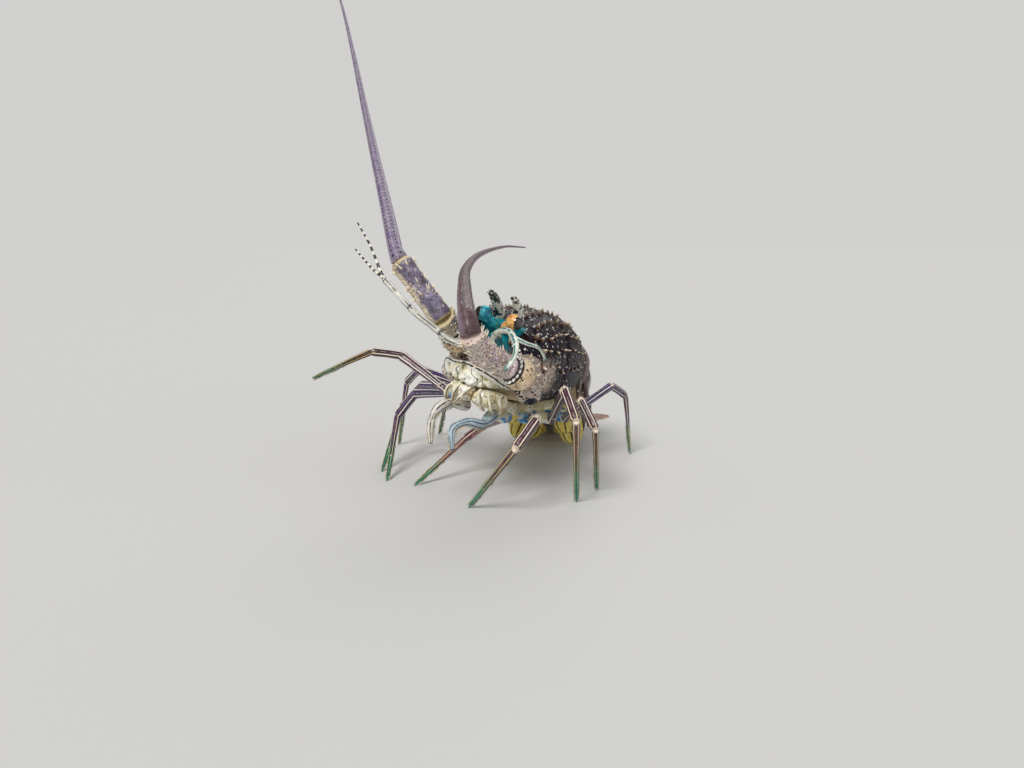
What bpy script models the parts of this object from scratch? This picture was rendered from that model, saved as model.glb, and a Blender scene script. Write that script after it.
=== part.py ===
"""Spiny lobster, life size, standing on the floor with its head turned and one leg raised.

Lengths are in millimetres and are turned into metres when a mesh is made.
The body has its own frame: forward (towards the horns), left and dorsal, starting at
the middle of the carapace's front edge. The floor is z = 0.
"""
import math
import random

import bmesh
import bpy
from mathutils import Matrix, Vector

MM = 0.001
GAP = 0.3
SEED = 7

# How the body stands
BODY_YAW = 18.0
BODY_PITCH = 8.0
BODY_ROLL = 14.0
BODY_ORIGIN = (8.0, 10.4, 77.9)
FLOOR_CENTRE = (-17.1, 148.8)

# Carapace: place along the body, half width, height above and depth below the middle
CARAPACE_LENGTH = 95.0
CARAPACE = [
    (-95.0, 26.0, 22.0, 19.0),
    (-88.0, 28.5, 25.0, 22.0),
    (-70.0, 30.5, 27.5, 24.5),
    (-50.0, 30.5, 28.0, 25.0),
    (-30.0, 29.0, 26.0, 24.5),
    (-12.0, 26.5, 22.0, 22.5),
    (0.0, 24.5, 17.5, 20.0),
]
CHEEK_AT = (-7.2, 21.5, -15.0)
CHEEK_SIZES = (7.0, 7.5, 6.0)
SPINE_ROWS = (13.0, 32.0, 51.0, 70.0, 88.0)
SPINES_IN_ROW = 9
SPINE_LENGTH = 5.6
FRONT_SPINES = (44.0, 66.0, 88.0)
GROOVE_AT = -47.0
GROOVE_DEPTH = 1.6
HORN_ANGLE = 10.0
HORN_FOOT = -7.0
# Horn: steps ahead of its foot and out from the shell, with the radius there
HORN = [(-2.0, -3.0, 3.8), (2.0, 4.0, 3.5), (8.0, 9.0, 3.0), (15.0, 12.0, 2.1), (21.0, 12.5, 0.7)]
EYE_STALK = [(-3.0, 2.9, 15.0), (4.0, 3.2, 15.9), (6.8, 6.2, 18.0)]
EYE_AT = (8.0, 8.8, 20.0)
EYE_RADII = (2.3, 4.3)

# Face: place along the body, half width, height above and depth below the middle
FACE = [
    (0.3, 10.0, 12.0, 12.0),
    (5.0, 10.0, 11.6, 12.5),
    (11.0, 9.5, 9.5, 12.5),
    (15.0, 7.5, 6.0, 11.0),
    (18.0, 4.5, 1.5, 7.5),
]
FACE_SPINES = [(12.0, 3.2, 7.5), (7.5, 3.6, 8.8), (3.5, 8.0, 8.0)]
# Plate over the mouth: place along the body, half width and half height
MOUTH_MIDDLE = (-4.0, -12.2)
MOUTH = [(0.3, 17.0, 4.6), (5.0, 16.5, 4.9), (10.0, 13.5, 4.9), (14.0, 9.5, 4.6), (16.5, 5.5, 3.4)]
# Pale rim over the mouth: forward, left, dorsal and radius
RIM = [
    (2.5, -20.5, -16.0, 1.3), (2.5, -23.0, -12.0, 1.6), (4.0, -22.3, -9.0, 1.8), (7.5, -17.0, -9.0, 2.0),
    (11.0, -11.5, -8.4, 2.2), (15.0, -5.0, -7.6, 2.3), (17.0, 1.5, -8.0, 2.3), (15.0, 7.0, -9.8, 2.2),
    (10.0, 10.8, -12.0, 2.0), (2.5, 13.5, -14.0, 1.6),
]
# Jaws: place along the body, width and half height
JAW_DORSAL = -21.9
JAW = [(0.7, 14.0, 4.0), (5.0, 15.5, 4.4), (10.0, 14.0, 4.4), (14.0, 10.5, 3.9), (16.5, 7.0, 2.9)]

# Abdomen: length, slope down, and the same half sizes at the front of each somite
SOMITES = [
    (15.0, 28.0, 25.5, 21.5, 14.5),
    (17.0, 45.0, 27.0, 22.0, 15.5),
    (17.0, 46.0, 26.5, 21.0, 15.0),
    (17.0, 40.0, 25.0, 19.5, 14.0),
    (17.0, 29.0, 23.0, 17.0, 12.0),
    (19.0, 14.0, 20.0, 14.0, 9.5),
]
ABDOMEN_END = (18.0, 9.5, 5.5)
TAIL_BEND = 18.0
FLAP_LOWEST = 2.0
SWIMMERET = (14.0, 8.5, 1.0)

# Tail fan blades: sideways place and turn of the root, half widths at root and end, length
BLADES = {
    "telson": (0.0, 0.0, 7.0, 11.5, 44.0),
    "inner": (10.8, 16.5, 3.0, 10.5, 47.0),
    "outer": (17.9, 38.0, 3.0, 10.5, 46.0),
}
BLADE_THICK = 1.4
BLADE_RIDGE = 0.35

# Legs: thigh, wrist, and hand with claw, for each pair from the front
LEG_LENGTHS = {1: (38, 17, 42), 2: (46, 19, 50), 3: (48, 20, 52), 4: (44, 18, 46), 5: (38, 16, 40)}
KNEE_SPINES = 4
LEG_THICK = {1: 2.9, 2: 3.3, 3: 3.1, 4: 2.8, 5: 2.5}
# Each leg in the body's frame at its hip, its foot over the floor, and how its bend leans
STANCE = {
    ("left", 1): ((-9, 14, -31), (-38, 30, 0), 80),
    ("left", 2): ((-26, 23, -30), (-5, -8, 0), -50),
    ("left", 3): ((-41, 30, -29), (52, 1, 0), 10),
    ("left", 4): ((-56, 34, -28), (65, 22, 0), 20),
    ("left", 5): ((-70, 34, -27), (95, 100, 0), 0),
    ("right", 1): ((-12, 24, -28), (-89, 13, 65), 60),
    ("right", 2): ((-26, 26, -30), (-55, 39, 0), 70),
    ("right", 3): ((-41, 31, -29), (-61, 58, 0), 70),
    ("right", 4): ((-56, 34, -28), (-60, 125, 0), 0),
    ("right", 5): ((-70, 34, -27), (-35, 155, 0), 0),
}
STERNUM = [(-6.0, 6.0), (-14.0, 11.0), (-28.0, 14.5), (-42.0, 18.0), (-56.0, 20.5), (-70.0, 22.5), (-82.0, 23.0)]

# Antennae: ends of the three stalk segments, then the whip, in world directions
STALK_BASE = {"right": (-3.0, 18.5, 2.0), "left": (-3.0, 19.5, -2.5)}
STALK_KNEE = {"right": (11.0, 18.8, 4.0), "left": (29.0, 24.6, -2.6)}
STALK_NECK = 8.9
STALK_KNOB = 8.3
STALK_RADII = (8.6, 7.6, 6.6, 6.3, 5.4)
STALK_SPINES = (4.4, 1.2)
STALK_POINTS = {"right": [(-18, -4, 99), (-39, 1, 127)], "left": [(3.0, -38.5, 86.0), (-1, -47, 95)]}
WHIP_POINTS = {
    "right": [(-42, 7, 132), (-54, 53, 160), (-68, 104, 193), (-83, 157, 231), (-99, 210, 275),
              (-115, 258, 318), (-129, 290, 352)],
    "left": [(-3, -43, 103), (-7, 8, 111), (-11, 96, 120), (-6, 199, 128), (12, 302, 133),
             (30, 350, 132)],
}
WHIP_RADII = (4.4, 0.6)
# Antennules: root in the face, then over the floor the stalk and the routes of its two
# whips with their radii at the root and at the end
ANTENNULE_ROOT = [(15.0, 3.2, 1.0), (18.8, 3.8, 5.4)]
ANTENNULE_PLANE = ((16.5, 3.75), (0.83, 0.55))
ANTENNULE_RADII = (2.0, 1.5)
ANTENNULES = {
    "right": ([(-12, -13, 88), (-22, -15, 96), (-30, -18, 103), (-44, -20, 119)],
              [((0.9, 0.4), [(-50, -18, 124), (-59, -11, 133)]),
               ((0.9, 0.4), [(-52, -10, 135), (-60, 2, 146)])]),
    "left": ([(10, -12, 92), (16, -22, 94), (18, -28, 92)],
             [((1.7, 1.0), [(19.5, -35, 88.5), (18.5, -40, 83.5), (14.5, -44, 78.5)]),
              ((1.2, 0.6), [(24, -29, 89), (30.5, -24, 86), (34, -21, 80)])]),
}
WHIP_PARTS = 3
# Maxillipeds: root in the body's frame, then their route over the floor
MAXILLIPEDS = {
    "right": ((-2, -8, -30.5), [(-15, 2, 54), (-22, -7, 51), (-24, -9, 44), (-24, -10, 35)]),
    "left": ((-2, 8, -30.5), [(2, -10, 45), (-6, -18, 48), (-12, -21, 45), (-12, -24, 35)]),
}
MAXILLIPED_RADII = (3.6, 1.5)

COLOURS = {
    "carapace": (0.16, 0.10, 0.13),
    "face": (0.80, 0.72, 0.50),
    "horn": (0.75, 0.70, 0.55),
    "eye": (0.02, 0.02, 0.02),
    "leg": (0.14, 0.07, 0.14),
    "antenna": (0.28, 0.20, 0.32),
    "abdomen": (0.20, 0.12, 0.12),
    "fan": (0.30, 0.16, 0.10),
}


def body_axes():
    yaw, pitch, roll = (math.radians(v) for v in (BODY_YAW, BODY_PITCH, BODY_ROLL))
    ahead = Vector((-math.sin(yaw), -math.cos(yaw), 0.0))
    left = Vector((math.cos(yaw), -math.sin(yaw), 0.0))
    up = Vector((0.0, 0.0, 1.0))
    forward = ahead * math.cos(pitch) + up * math.sin(pitch)
    raised = up * math.cos(pitch) - ahead * math.sin(pitch)
    return (forward,
            left * math.cos(roll) - raised * math.sin(roll),
            raised * math.cos(roll) + left * math.sin(roll))


FORWARD, LEFT, DORSAL = body_axes()
CENTRE_SHIFT = Vector((-FLOOR_CENTRE[0], -FLOOR_CENTRE[1], 0.0))


def world(point):
    """A point given over the floor, moved so that the whole model is centred."""
    return Vector(point) + CENTRE_SHIFT


def at(forward, left, dorsal):
    """A point given in the body's own frame."""
    return world(BODY_ORIGIN) + FORWARD * forward + LEFT * left + DORSAL * dorsal


def mirrored(side):
    return 1.0 if side == "left" else -1.0


def smooth_row(rows, x):
    """Values between rows that start with x, along a smooth curve through them."""
    rows = sorted(rows)
    x = min(max(x, rows[0][0]), rows[-1][0])
    k = max(i for i in range(len(rows) - 1) if rows[i][0] <= x)
    x0, x1 = rows[k][0], rows[k + 1][0]
    t = (x - x0) / (x1 - x0)
    before = rows[max(k - 1, 0)]
    after = rows[min(k + 2, len(rows) - 1)]
    result = []
    for c in range(1, len(rows[0])):
        y0, y1 = rows[k][c], rows[k + 1][c]
        m0 = (y1 - before[c]) / (x1 - before[0]) * (x1 - x0)
        m1 = (after[c] - y0) / (after[0] - x0) * (x1 - x0)
        result.append((2 * t**3 - 3 * t**2 + 1) * y0 + (t**3 - 2 * t**2 + t) * m0
                      + (3 * t**2 - 2 * t**3) * y1 + (t**3 - t**2) * m1)
    return result


def make_material(name):
    material = bpy.data.materials.new(name)
    material.use_nodes = True
    shader = material.node_tree.nodes["Principled BSDF"]
    shader.inputs["Base Color"].default_value = (*COLOURS[name], 1.0)
    shader.inputs["Roughness"].default_value = 0.15 if name == "eye" else 0.45
    return material


def new_object(name, mesh, collection):
    thing = bpy.data.objects.new(name, mesh)
    collection.objects.link(thing)
    return thing


def mesh_from(bm, name="shape"):
    bmesh.ops.recalc_face_normals(bm, faces=bm.faces)
    mesh = bpy.data.meshes.new(name)
    bm.to_mesh(mesh)
    bm.free()
    return mesh


def loft(rings):
    """A closed skin over rings of the same number of points, with flat ends."""
    bm = bmesh.new()
    loops = [[bm.verts.new(Vector(p) * MM) for p in ring] for ring in rings]
    count = len(loops[0])
    for near, far in zip(loops, loops[1:]):
        for i in range(count):
            j = (i + 1) % count
            bm.faces.new((near[i], near[j], far[j], far[i]))
    bm.faces.new(loops[0])
    bm.faces.new(loops[-1])
    return mesh_from(bm)


def tube(points, radii, sides=8):
    """A round tapered tube along points, with mitred bends and filled ends."""
    curve = bpy.data.curves.new("tube", "CURVE")
    curve.dimensions = "3D"
    curve.bevel_depth = MM
    curve.bevel_resolution = (sides - 4) // 2
    curve.use_fill_caps = True
    spline = curve.splines.new("POLY")
    spline.points.add(len(points) - 1)
    for node, point, radius in zip(spline.points, points, radii):
        node.co = (*(Vector(point) * MM), 1.0)
        node.radius = radius
    thing = new_object("tube", curve, bpy.context.scene.collection)
    graph = bpy.context.evaluated_depsgraph_get()
    mesh = bpy.data.meshes.new_from_object(thing.evaluated_get(graph))
    bpy.data.objects.remove(thing)
    bm = bmesh.new()
    bm.from_mesh(mesh)
    bmesh.ops.remove_doubles(bm, verts=bm.verts, dist=0.00001)
    bpy.data.meshes.remove(mesh)
    return mesh_from(bm)


def cut(mesh, point, normal):
    """Keep what lies ahead of a plane, and close the cut."""
    bm = bmesh.new()
    bm.from_mesh(mesh)
    everything = bm.verts[:] + bm.edges[:] + bm.faces[:]
    result = bmesh.ops.bisect_plane(bm, geom=everything, dist=1e-7, plane_co=Vector(point) * MM,
                                    plane_no=normal, clear_inner=True)
    rim = [e for e in result["geom_cut"] if isinstance(e, bmesh.types.BMEdge)]
    bmesh.ops.holes_fill(bm, edges=rim)
    bpy.data.meshes.remove(mesh)
    return mesh_from(bm)


def spine(base, tip, radius, sides=5):
    """A tapered spine whose root is sunk into what it grows from."""
    base, tip = Vector(base), Vector(tip)
    bm = bmesh.new()
    bmesh.ops.create_cone(bm, cap_ends=True, segments=sides, radius1=radius * MM,
                          radius2=radius * 0.12 * MM, depth=(tip - base).length * MM)
    turn = (tip - base).to_track_quat("Z", "X").to_matrix().to_4x4()
    bmesh.ops.transform(bm, matrix=Matrix.Translation((base + tip) * 0.5 * MM) @ turn, verts=bm.verts)
    return mesh_from(bm)


def lump(centre, axes, sizes, columns=10, rows=7):
    """A rounded body with its three half sizes along three directions."""
    bm = bmesh.new()
    bmesh.ops.create_uvsphere(bm, u_segments=columns, v_segments=rows, radius=MM)
    turn = Matrix([Vector(a) * s for a, s in zip(axes, sizes)]).transposed().to_4x4()
    bmesh.ops.transform(bm, matrix=Matrix.Translation(Vector(centre) * MM) @ turn, verts=bm.verts)
    return mesh_from(bm)


def largest_body(mesh):
    bm = bmesh.new()
    bm.from_mesh(mesh)
    left = set(bm.verts)
    bodies = []
    while left:
        front = [left.pop()]
        body = set(front)
        while front:
            for edge in front.pop().link_edges:
                for vert in edge.verts:
                    if vert in left:
                        left.remove(vert)
                        body.add(vert)
                        front.append(vert)
        bodies.append(body)
    keep = max(bodies, key=len)
    bmesh.ops.delete(bm, geom=[v for v in bm.verts if v not in keep], context="VERTS")
    bpy.data.meshes.remove(mesh)
    return mesh_from(bm)


def fuse(mesh, pieces):
    """One closed body from a mesh and the pieces that grow from it."""
    scene = bpy.context.scene
    body = new_object("body", mesh, scene.collection)
    group = bpy.data.collections.new("pieces")
    scene.collection.children.link(group)
    for piece in pieces:
        new_object("piece", piece, group)
    union = body.modifiers.new("union", "BOOLEAN")
    union.operation = "UNION"
    union.operand_type = "COLLECTION"
    union.collection = group
    union.solver = "EXACT"
    graph = bpy.context.evaluated_depsgraph_get()
    result = bpy.data.meshes.new_from_object(body.evaluated_get(graph))
    for thing in [body, *group.objects]:
        bpy.data.objects.remove(thing)
    bpy.data.collections.remove(group)
    return largest_body(result)


def body_ring(forward, half_width, above, below, count=24, flat=0.55):
    """A ring across the body: an arch above and a flatter belly below."""
    ring = []
    for i in range(count):
        angle = 2.0 * math.pi * i / count
        across = math.copysign(abs(math.sin(angle)) ** 0.9, math.sin(angle))
        rise = math.cos(angle)
        if rise >= 0.0:
            height = above * rise ** 0.9
        else:
            height = -below * (-rise) ** flat
        ring.append((forward, half_width * across, height))
    return ring


def soft_box(count):
    """Points round a square with well rounded corners, each side one unit from the middle."""
    ring = []
    for i in range(count):
        angle = 2.0 * math.pi * i / count
        ring.append(tuple(math.copysign(abs(v) ** 0.7, v) for v in (math.sin(angle), math.cos(angle))))
    return ring


def carapace_row(forward):
    half_width, above, below = smooth_row(CARAPACE, forward)
    dip = GROOVE_DEPTH * math.exp(-((forward - GROOVE_AT) / 2.5) ** 2)
    return half_width - dip, above - dip, below


def carapace():
    places = [-95, -91, -86, -79, -71, -63, -56, -51, -49, -47, -45, -42, -36, -29, -22, -15, -8, -3, 0]
    rings = [[at(*p) for p in body_ring(x, *carapace_row(x))] for x in places]
    return fuse(loft(rings), [*cheeks(), *shell_spines()])


def cheeks():
    """The rounded front corners of the carapace on either side of the mouth."""
    forward, left, dorsal = CHEEK_AT
    return [lump(at(forward, left * way, dorsal), (FORWARD, LEFT, DORSAL), CHEEK_SIZES, 12, 8)
            for way in (-1.0, 1.0)]


def shell_spines():
    """Rows of spines that point forwards, large behind the horns and smaller to the rear."""
    spines = []
    for row, angle in enumerate(SPINE_ROWS):
        count = SPINES_IN_ROW - (row % 2)
        for k in range(count):
            forward = -9.0 - (k + 0.5 * (row % 2)) * 78.0 / count + random.uniform(-1.2, 1.2)
            for way in (-1.0, 1.0):
                turn = (angle + random.uniform(-2.5, 2.5)) * way
                if row == 0 and k == 0:
                    continue
                size = SPINE_LENGTH * (1.0 - 0.5 * k / count) * random.uniform(0.8, 1.15)
                size *= 1.0 - 0.06 * row
                foot, out = on_shell(forward, turn)
                lean = (out * 0.75 + FORWARD * 0.66).normalized()
                spines.append(spine(foot - lean * 1.6, foot + lean * size, 0.5 + size * 0.22))
    for angle in FRONT_SPINES:
        for way in (-1.0, 1.0):
            foot, out = on_shell(-5.0, angle * way)
            lean = (FORWARD * 0.55 + out).normalized()
            spines.append(spine(foot - lean * 2.0, foot + lean * 6.5, 1.7))
    return spines


def face():
    """The plate between the feelers, the plate over the mouth and its pale rim."""
    rings = [[at(*p) for p in body_ring(*row, 16)] for row in FACE]
    left, dorsal = MOUTH_MIDDLE
    mouth = [[at(forward, left + wide * x, dorsal + tall * y) for x, y in soft_box(16)]
             for forward, wide, tall in MOUTH]
    pieces = [loft(mouth), tube([at(*row[:3]) for row in RIM], [row[3] for row in RIM])]
    for forward, left, dorsal in FACE_SPINES:
        for way in (-1.0, 1.0):
            root = at(forward, left * way, dorsal)
            pieces.append(spine(root, root + FORWARD * 3.4 + DORSAL * 3.6, 1.1))
    return fuse(loft(rings), pieces)


def mandible(side):
    """One of the two thick pale jaws that meet in the middle."""
    way = mirrored(side)
    return loft([[at(forward, way * (0.4 + wide * 0.5 * (1.0 + x)), JAW_DORSAL + tall * y)
                  for x, y in soft_box(16)] for forward, wide, tall in JAW])


def sternum():
    rings = []
    for forward, half in STERNUM:
        top = -carapace_row(forward)[2] - GAP
        rings.append([at(forward, half, top), at(forward, half * 0.9, top - 6.5),
                      at(forward, half * 0.45, top - 8.0), at(forward, 0.0, top - 7.0),
                      at(forward, -half * 0.45, top - 8.0), at(forward, -half * 0.9, top - 6.5),
                      at(forward, -half, top), at(forward, 0.0, top)])
    return loft(rings)


def on_shell(forward, angle, lift=0.0):
    """A point on the carapace, at an angle from its top in degrees, and the way out there."""
    def surface(x, turn):
        half_width, above, below = carapace_row(x)
        across = math.copysign(abs(math.sin(turn)) ** 0.9, math.sin(turn))
        rise = math.cos(turn)
        height = above * rise ** 0.9 if rise >= 0.0 else -below * (-rise) ** 0.55
        return at(x, half_width * across, height)

    turn = math.radians(angle)
    place = surface(forward, turn)
    ahead = surface(forward + 1.0, turn) - place
    around = surface(forward, turn + 0.05) - place
    out = around.cross(ahead).normalized()
    if out.dot(place - at(forward, 0.0, 0.0)) < 0.0:
        out = -out
    return place + out * lift, out


def horn(side):
    """A curved horn over each eye, standing on the carapace."""
    foot, out = on_shell(HORN_FOOT, HORN_ANGLE * mirrored(side))
    points = [foot + FORWARD * ahead + out * rise for ahead, rise, radius in HORN]
    return cut(tube(points, [row[2] for row in HORN]), foot + out * (GAP + 0.35), out)


def eye(side):
    """A short stalk that stands on the carapace's front, with its round cornea."""
    way = mirrored(side)
    thick, ball = EYE_RADII
    stalk = tube([at(a, left * way, up) for a, left, up in EYE_STALK], [thick] * len(EYE_STALK))
    stalk = cut(stalk, at(GAP, 0.0, 0.0), FORWARD)
    forward, left, dorsal = EYE_AT
    return fuse(stalk, [lump(at(forward, left * way, dorsal), (FORWARD, LEFT, DORSAL), [ball] * 3)])


def bisector(before, at_point, after):
    """The normal of the plane that halves a bend."""
    return ((Vector(after) - Vector(at_point)).normalized()
            + (Vector(at_point) - Vector(before)).normalized()).normalized()


def parted(points, radii, cuts, sides=8):
    """A tube parted at some of its points, as a list of closed lengths."""
    lengths = []
    edges = [None, *cuts, None]
    for start, end in zip(edges, edges[1:]):
        first = 0 if start is None else start - 1
        last = len(points) if end is None else end + 2
        mesh = tube(points[first:last], radii[first:last], sides)
        if start is not None:
            normal = bisector(*points[start - 1:start + 2])
            mesh = cut(mesh, Vector(points[start]) + normal * GAP * 0.5, normal)
        if end is not None:
            normal = bisector(*points[end - 1:end + 2])
            mesh = cut(mesh, Vector(points[end]) - normal * GAP * 0.5, -normal)
        lengths.append(mesh)
    return lengths


def leg_joints(side, number):
    """Hip, knee, wrist and foot: equal bends at knee and wrist reach the foot."""
    (forward, left, dorsal), foot, lean = STANCE[(side, number)]
    thigh, wrist, hand = LEG_LENGTHS[number]
    hip = at(forward, left * mirrored(side), dorsal)
    foot = world(foot)
    span = foot - hip
    along = span.normalized()
    across = along.cross(Vector((0.0, 0.0, 1.0))).normalized()
    lean = math.radians(lean)
    outward = across.cross(along) * math.cos(lean) + across * math.sin(lean)
    low, high = 0.0, 2.6
    for _ in range(40):
        bend = (low + high) / 2.0
        reach = (thigh + wrist * math.cos(bend) + hand * math.cos(2.0 * bend),
                 wrist * math.sin(bend) + hand * math.sin(2.0 * bend))
        if math.hypot(*reach) > span.length:
            low = bend
        else:
            high = bend
    turn = math.atan2(reach[1], reach[0])

    def joint(x, y):
        return (hip + along * (x * math.cos(turn) + y * math.sin(turn))
                + outward * (x * math.sin(turn) - y * math.cos(turn)))

    wrist_point = joint(thigh + wrist * math.cos(bend), wrist * math.sin(bend))
    return hip, joint(thigh, 0.0), wrist_point, foot


def joint_spines(start, end, beyond, thick, count):
    """Short spines on the outer side of a leg, just before one of its joints."""
    along = (end - start).normalized()
    outer = (along - (beyond - end).normalized()).normalized()
    outer = (outer - along * outer.dot(along)).normalized()
    across = along.cross(outer)
    spines = []
    for k in range(count):
        turn = math.radians(80.0 * (k - 0.5 * (count - 1)) / max(1, count - 1) * 1.4)
        way = outer * math.cos(turn) + across * math.sin(turn)
        root = end - along * (3.0 + 0.6 * (k % 2))
        spines.append(spine(root + way * thick * 0.55, root + way * thick * 1.45 + along * 2.2, thick * 0.28))
    return spines


def leg(side, number):
    """Upper and lower length of one leg, parted at the knee."""
    hip, knee, wrist, foot = leg_joints(side, number)
    forward, left, dorsal = STANCE[(side, number)][0]
    root = at(forward, (smooth_row(STERNUM, forward)[0] + GAP + 1.0) * mirrored(side), dorsal - 1.0)
    thick = LEG_THICK[number]
    claw = wrist.lerp(foot, 0.66)
    points = [root, hip, hip.lerp(knee, 0.12), hip.lerp(knee, 0.45), hip.lerp(knee, 0.86), knee,
              knee.lerp(wrist, 0.5), wrist, wrist.lerp(foot, 0.3), claw, foot]
    radii = [thick * v for v in (1.0, 1.05, 0.78, 0.9, 1.02, 0.92, 0.86, 0.74, 0.52, 0.42, 0.13)]
    upper, lower = parted(points, radii, [5])
    upper = fuse(upper, joint_spines(hip, knee, wrist, thick, KNEE_SPINES))
    if foot.z < 1.0:
        lower = cut(lower, world((0.0, 0.0, 0.0)), Vector((0.0, 0.0, 1.0)))
    return upper, lower


def stalk_points(side):
    forward, left, dorsal = STALK_BASE[side]
    base = at(forward, left * mirrored(side), dorsal)
    forward, left, dorsal = STALK_KNEE[side]
    knee = at(forward, left * mirrored(side), dorsal)
    elbow, end = (world(p) for p in STALK_POINTS[side])
    return [base, knee, knee + (elbow - knee).normalized() * STALK_NECK, elbow, end]


def through(points, steps):
    """A smooth curve through points, with its distance along it from 0 to 1."""
    points = [Vector(p) for p in points]
    rows = []
    travelled = 0.0
    for i, point in enumerate(points):
        if i:
            travelled += (point - points[i - 1]).length
        rows.append((travelled, *point))
    return [(k / steps, Vector(smooth_row(rows, travelled * k / steps))) for k in range(steps + 1)]


def antenna(side):
    """Three stalk segments and three lengths of whip, parted by thin cuts."""
    stalk = stalk_points(side)
    whip = through([world(p) for p in WHIP_POINTS[side]], 24)
    start = stalk[-1]
    points = stalk[:-1] + [start] + [p for t, p in whip]
    radii = list(STALK_RADII) + [WHIP_RADII[0] * (1.0 - t) + WHIP_RADII[1] * t for t, p in whip]
    first = len(stalk) - 1
    step = 24 // WHIP_PARTS
    cuts = [2, 3, first] + [first + 1 + step * k for k in range(1, WHIP_PARTS)]
    lengths = parted(points, radii, cuts)
    lengths[0] = cut(lengths[0], at(GAP, 0.0, 0.0), FORWARD)
    lengths[0] = fuse(lengths[0], [lump(stalk[1], (FORWARD, LEFT, DORSAL), [STALK_KNOB] * 3, 14, 10)])
    ends = [*stalk, whip[1][1]]
    for part, k in enumerate((0, 2, 3)):
        spines = stalk_spines(stalk[k], stalk[k + 1], ends[k + 2], STALK_RADII[k], STALK_RADII[k + 1])
        lengths[part] = fuse(lengths[part], spines)
    return lengths


def stalk_spines(start, end, beyond, near_radius, far_radius):
    """Spines round a stalk segment: a ring before its end and a few behind it."""
    along = (end - start).normalized()
    side = along.cross(Vector((0.0, 0.0, 1.0))).normalized()
    above = side.cross(along)
    joint = bisector(start, end, beyond)
    long, wide = STALK_SPINES
    spines = []
    for ring, (t, count) in enumerate(((0.8, 6), (0.45, 5))):
        for k in range(count):
            turn = 2.0 * math.pi * (k + 0.5 * ring) / count + random.uniform(-0.15, 0.15)
            out = side * math.cos(turn) + above * math.sin(turn)
            radius = near_radius * (1.0 - t) + far_radius * t
            root = start.lerp(end, t) + out * (radius - 1.3)
            size = long * random.uniform(0.75, 1.1)
            tip = root + out * size + along * size * 0.7
            if (tip - end).dot(joint) < -wide:
                spines.append(spine(root, tip, wide))
    return spines


def abdomen_stations():
    """Middle, axes and half sizes at each joint of the abdomen, down to the tail."""
    up = Vector((0.0, 0.0, 1.0))
    place = at(-CARAPACE_LENGTH - GAP, 0.0, 0.0)
    stations = []
    slopes = [SOMITES[0][1]] + [row[1] for row in SOMITES] + [SOMITES[-1][1] - 8.0]
    sizes = [row[2:] for row in SOMITES] + [ABDOMEN_END]
    for i, size in enumerate(sizes):
        yaw = math.radians(BODY_YAW - TAIL_BEND * min(1.0, i / 3.0))
        back = Vector((math.sin(yaw), math.cos(yaw), 0.0))
        level_left = up.cross(-back)
        slope = math.radians((slopes[i] + slopes[i + 1]) * 0.5 if i else BODY_PITCH)
        roll = math.radians(BODY_ROLL * max(0.0, 1.0 - i / 4.5))
        tail = back * math.cos(slope) - up * math.sin(slope)
        above = back * math.sin(slope) + up * math.cos(slope)
        left = level_left * math.cos(roll) - above * math.sin(roll)
        above = above * math.cos(roll) + level_left * math.sin(roll)
        stations.append((place, tail, left, above, size))
        if i < len(SOMITES):
            slope = math.radians(SOMITES[i][1])
            place = place + (back * math.cos(slope) - up * math.sin(slope)) * SOMITES[i][0]
    return stations


def somite(index, stations):
    near, far = stations[index], stations[index + 1]
    steps = [(0.0, 0.92), (0.22, 0.93), (0.34, 1.0), (0.7, 1.01), (1.0, 1.0)]
    rings = []
    for t, swell in steps:
        middle = near[0].lerp(far[0], t)
        tail = near[1].lerp(far[1], t).normalized()
        left = near[2].lerp(far[2], t).normalized()
        above = near[3].lerp(far[3], t).normalized()
        half, high, low = (a * (1.0 - t) + b * t for a, b in zip(near[4], far[4]))
        shift = GAP * 0.5 if t == 0.0 else -GAP * 0.5 if t == 1.0 else 0.0
        ring = body_ring(0.0, half * swell, high * swell, low, 20)
        rings.append([middle + tail * shift + left * p[1] + above * p[2] for p in ring])
    return fuse(loft(rings), [*side_flaps(index, near, far), *swimmerets(index, near, far)])


def side_flaps(index, near, far):
    """The pointed flap that hangs from each side of a somite."""
    middle = near[0].lerp(far[0], 0.5)
    tail, left, above = (near[k].lerp(far[k], 0.5).normalized() for k in (1, 2, 3))
    half, high, low = near[4]
    flaps = []
    for way in (-1.0, 1.0):
        root = middle + left * way * half * 0.86 - above * low * 0.15 - tail * 1.0
        tip = middle + left * way * (half + 1.5) - above * (low + 6.5 - index * 0.9) + tail * 6.0
        tip.z = max(tip.z, FLAP_LOWEST)
        flaps.append(spine(root, tip, 4.6, 6))
    return flaps


def swimmerets(index, near, far):
    """A pair of leaf-shaped swimmerets under each somite from the second to the fifth."""
    if index not in (1, 2, 3, 4):
        return []
    middle = near[0].lerp(far[0], 0.5)
    tail, left, above = (near[k].lerp(far[k], 0.5).normalized() for k in (1, 2, 3))
    half, high, low = near[4]
    leaves = []
    for way in (-1.0, 1.0):
        hang = (left * way * 0.35 - above + tail * 0.45).normalized()
        thin = (tail + above * 0.45).normalized()
        wide = hang.cross(thin).normalized()
        thin = wide.cross(hang).normalized()
        root = middle + left * way * half * 0.42 - above * (low - 2.5)
        long = min(SWIMMERET[0], (root.z - 2.0) * 0.5)
        centre = root + hang * long
        leaves.append(lump(centre, (hang, wide, thin), (long, SWIMMERET[1], SWIMMERET[2]), 8, 6))
    return leaves


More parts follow.
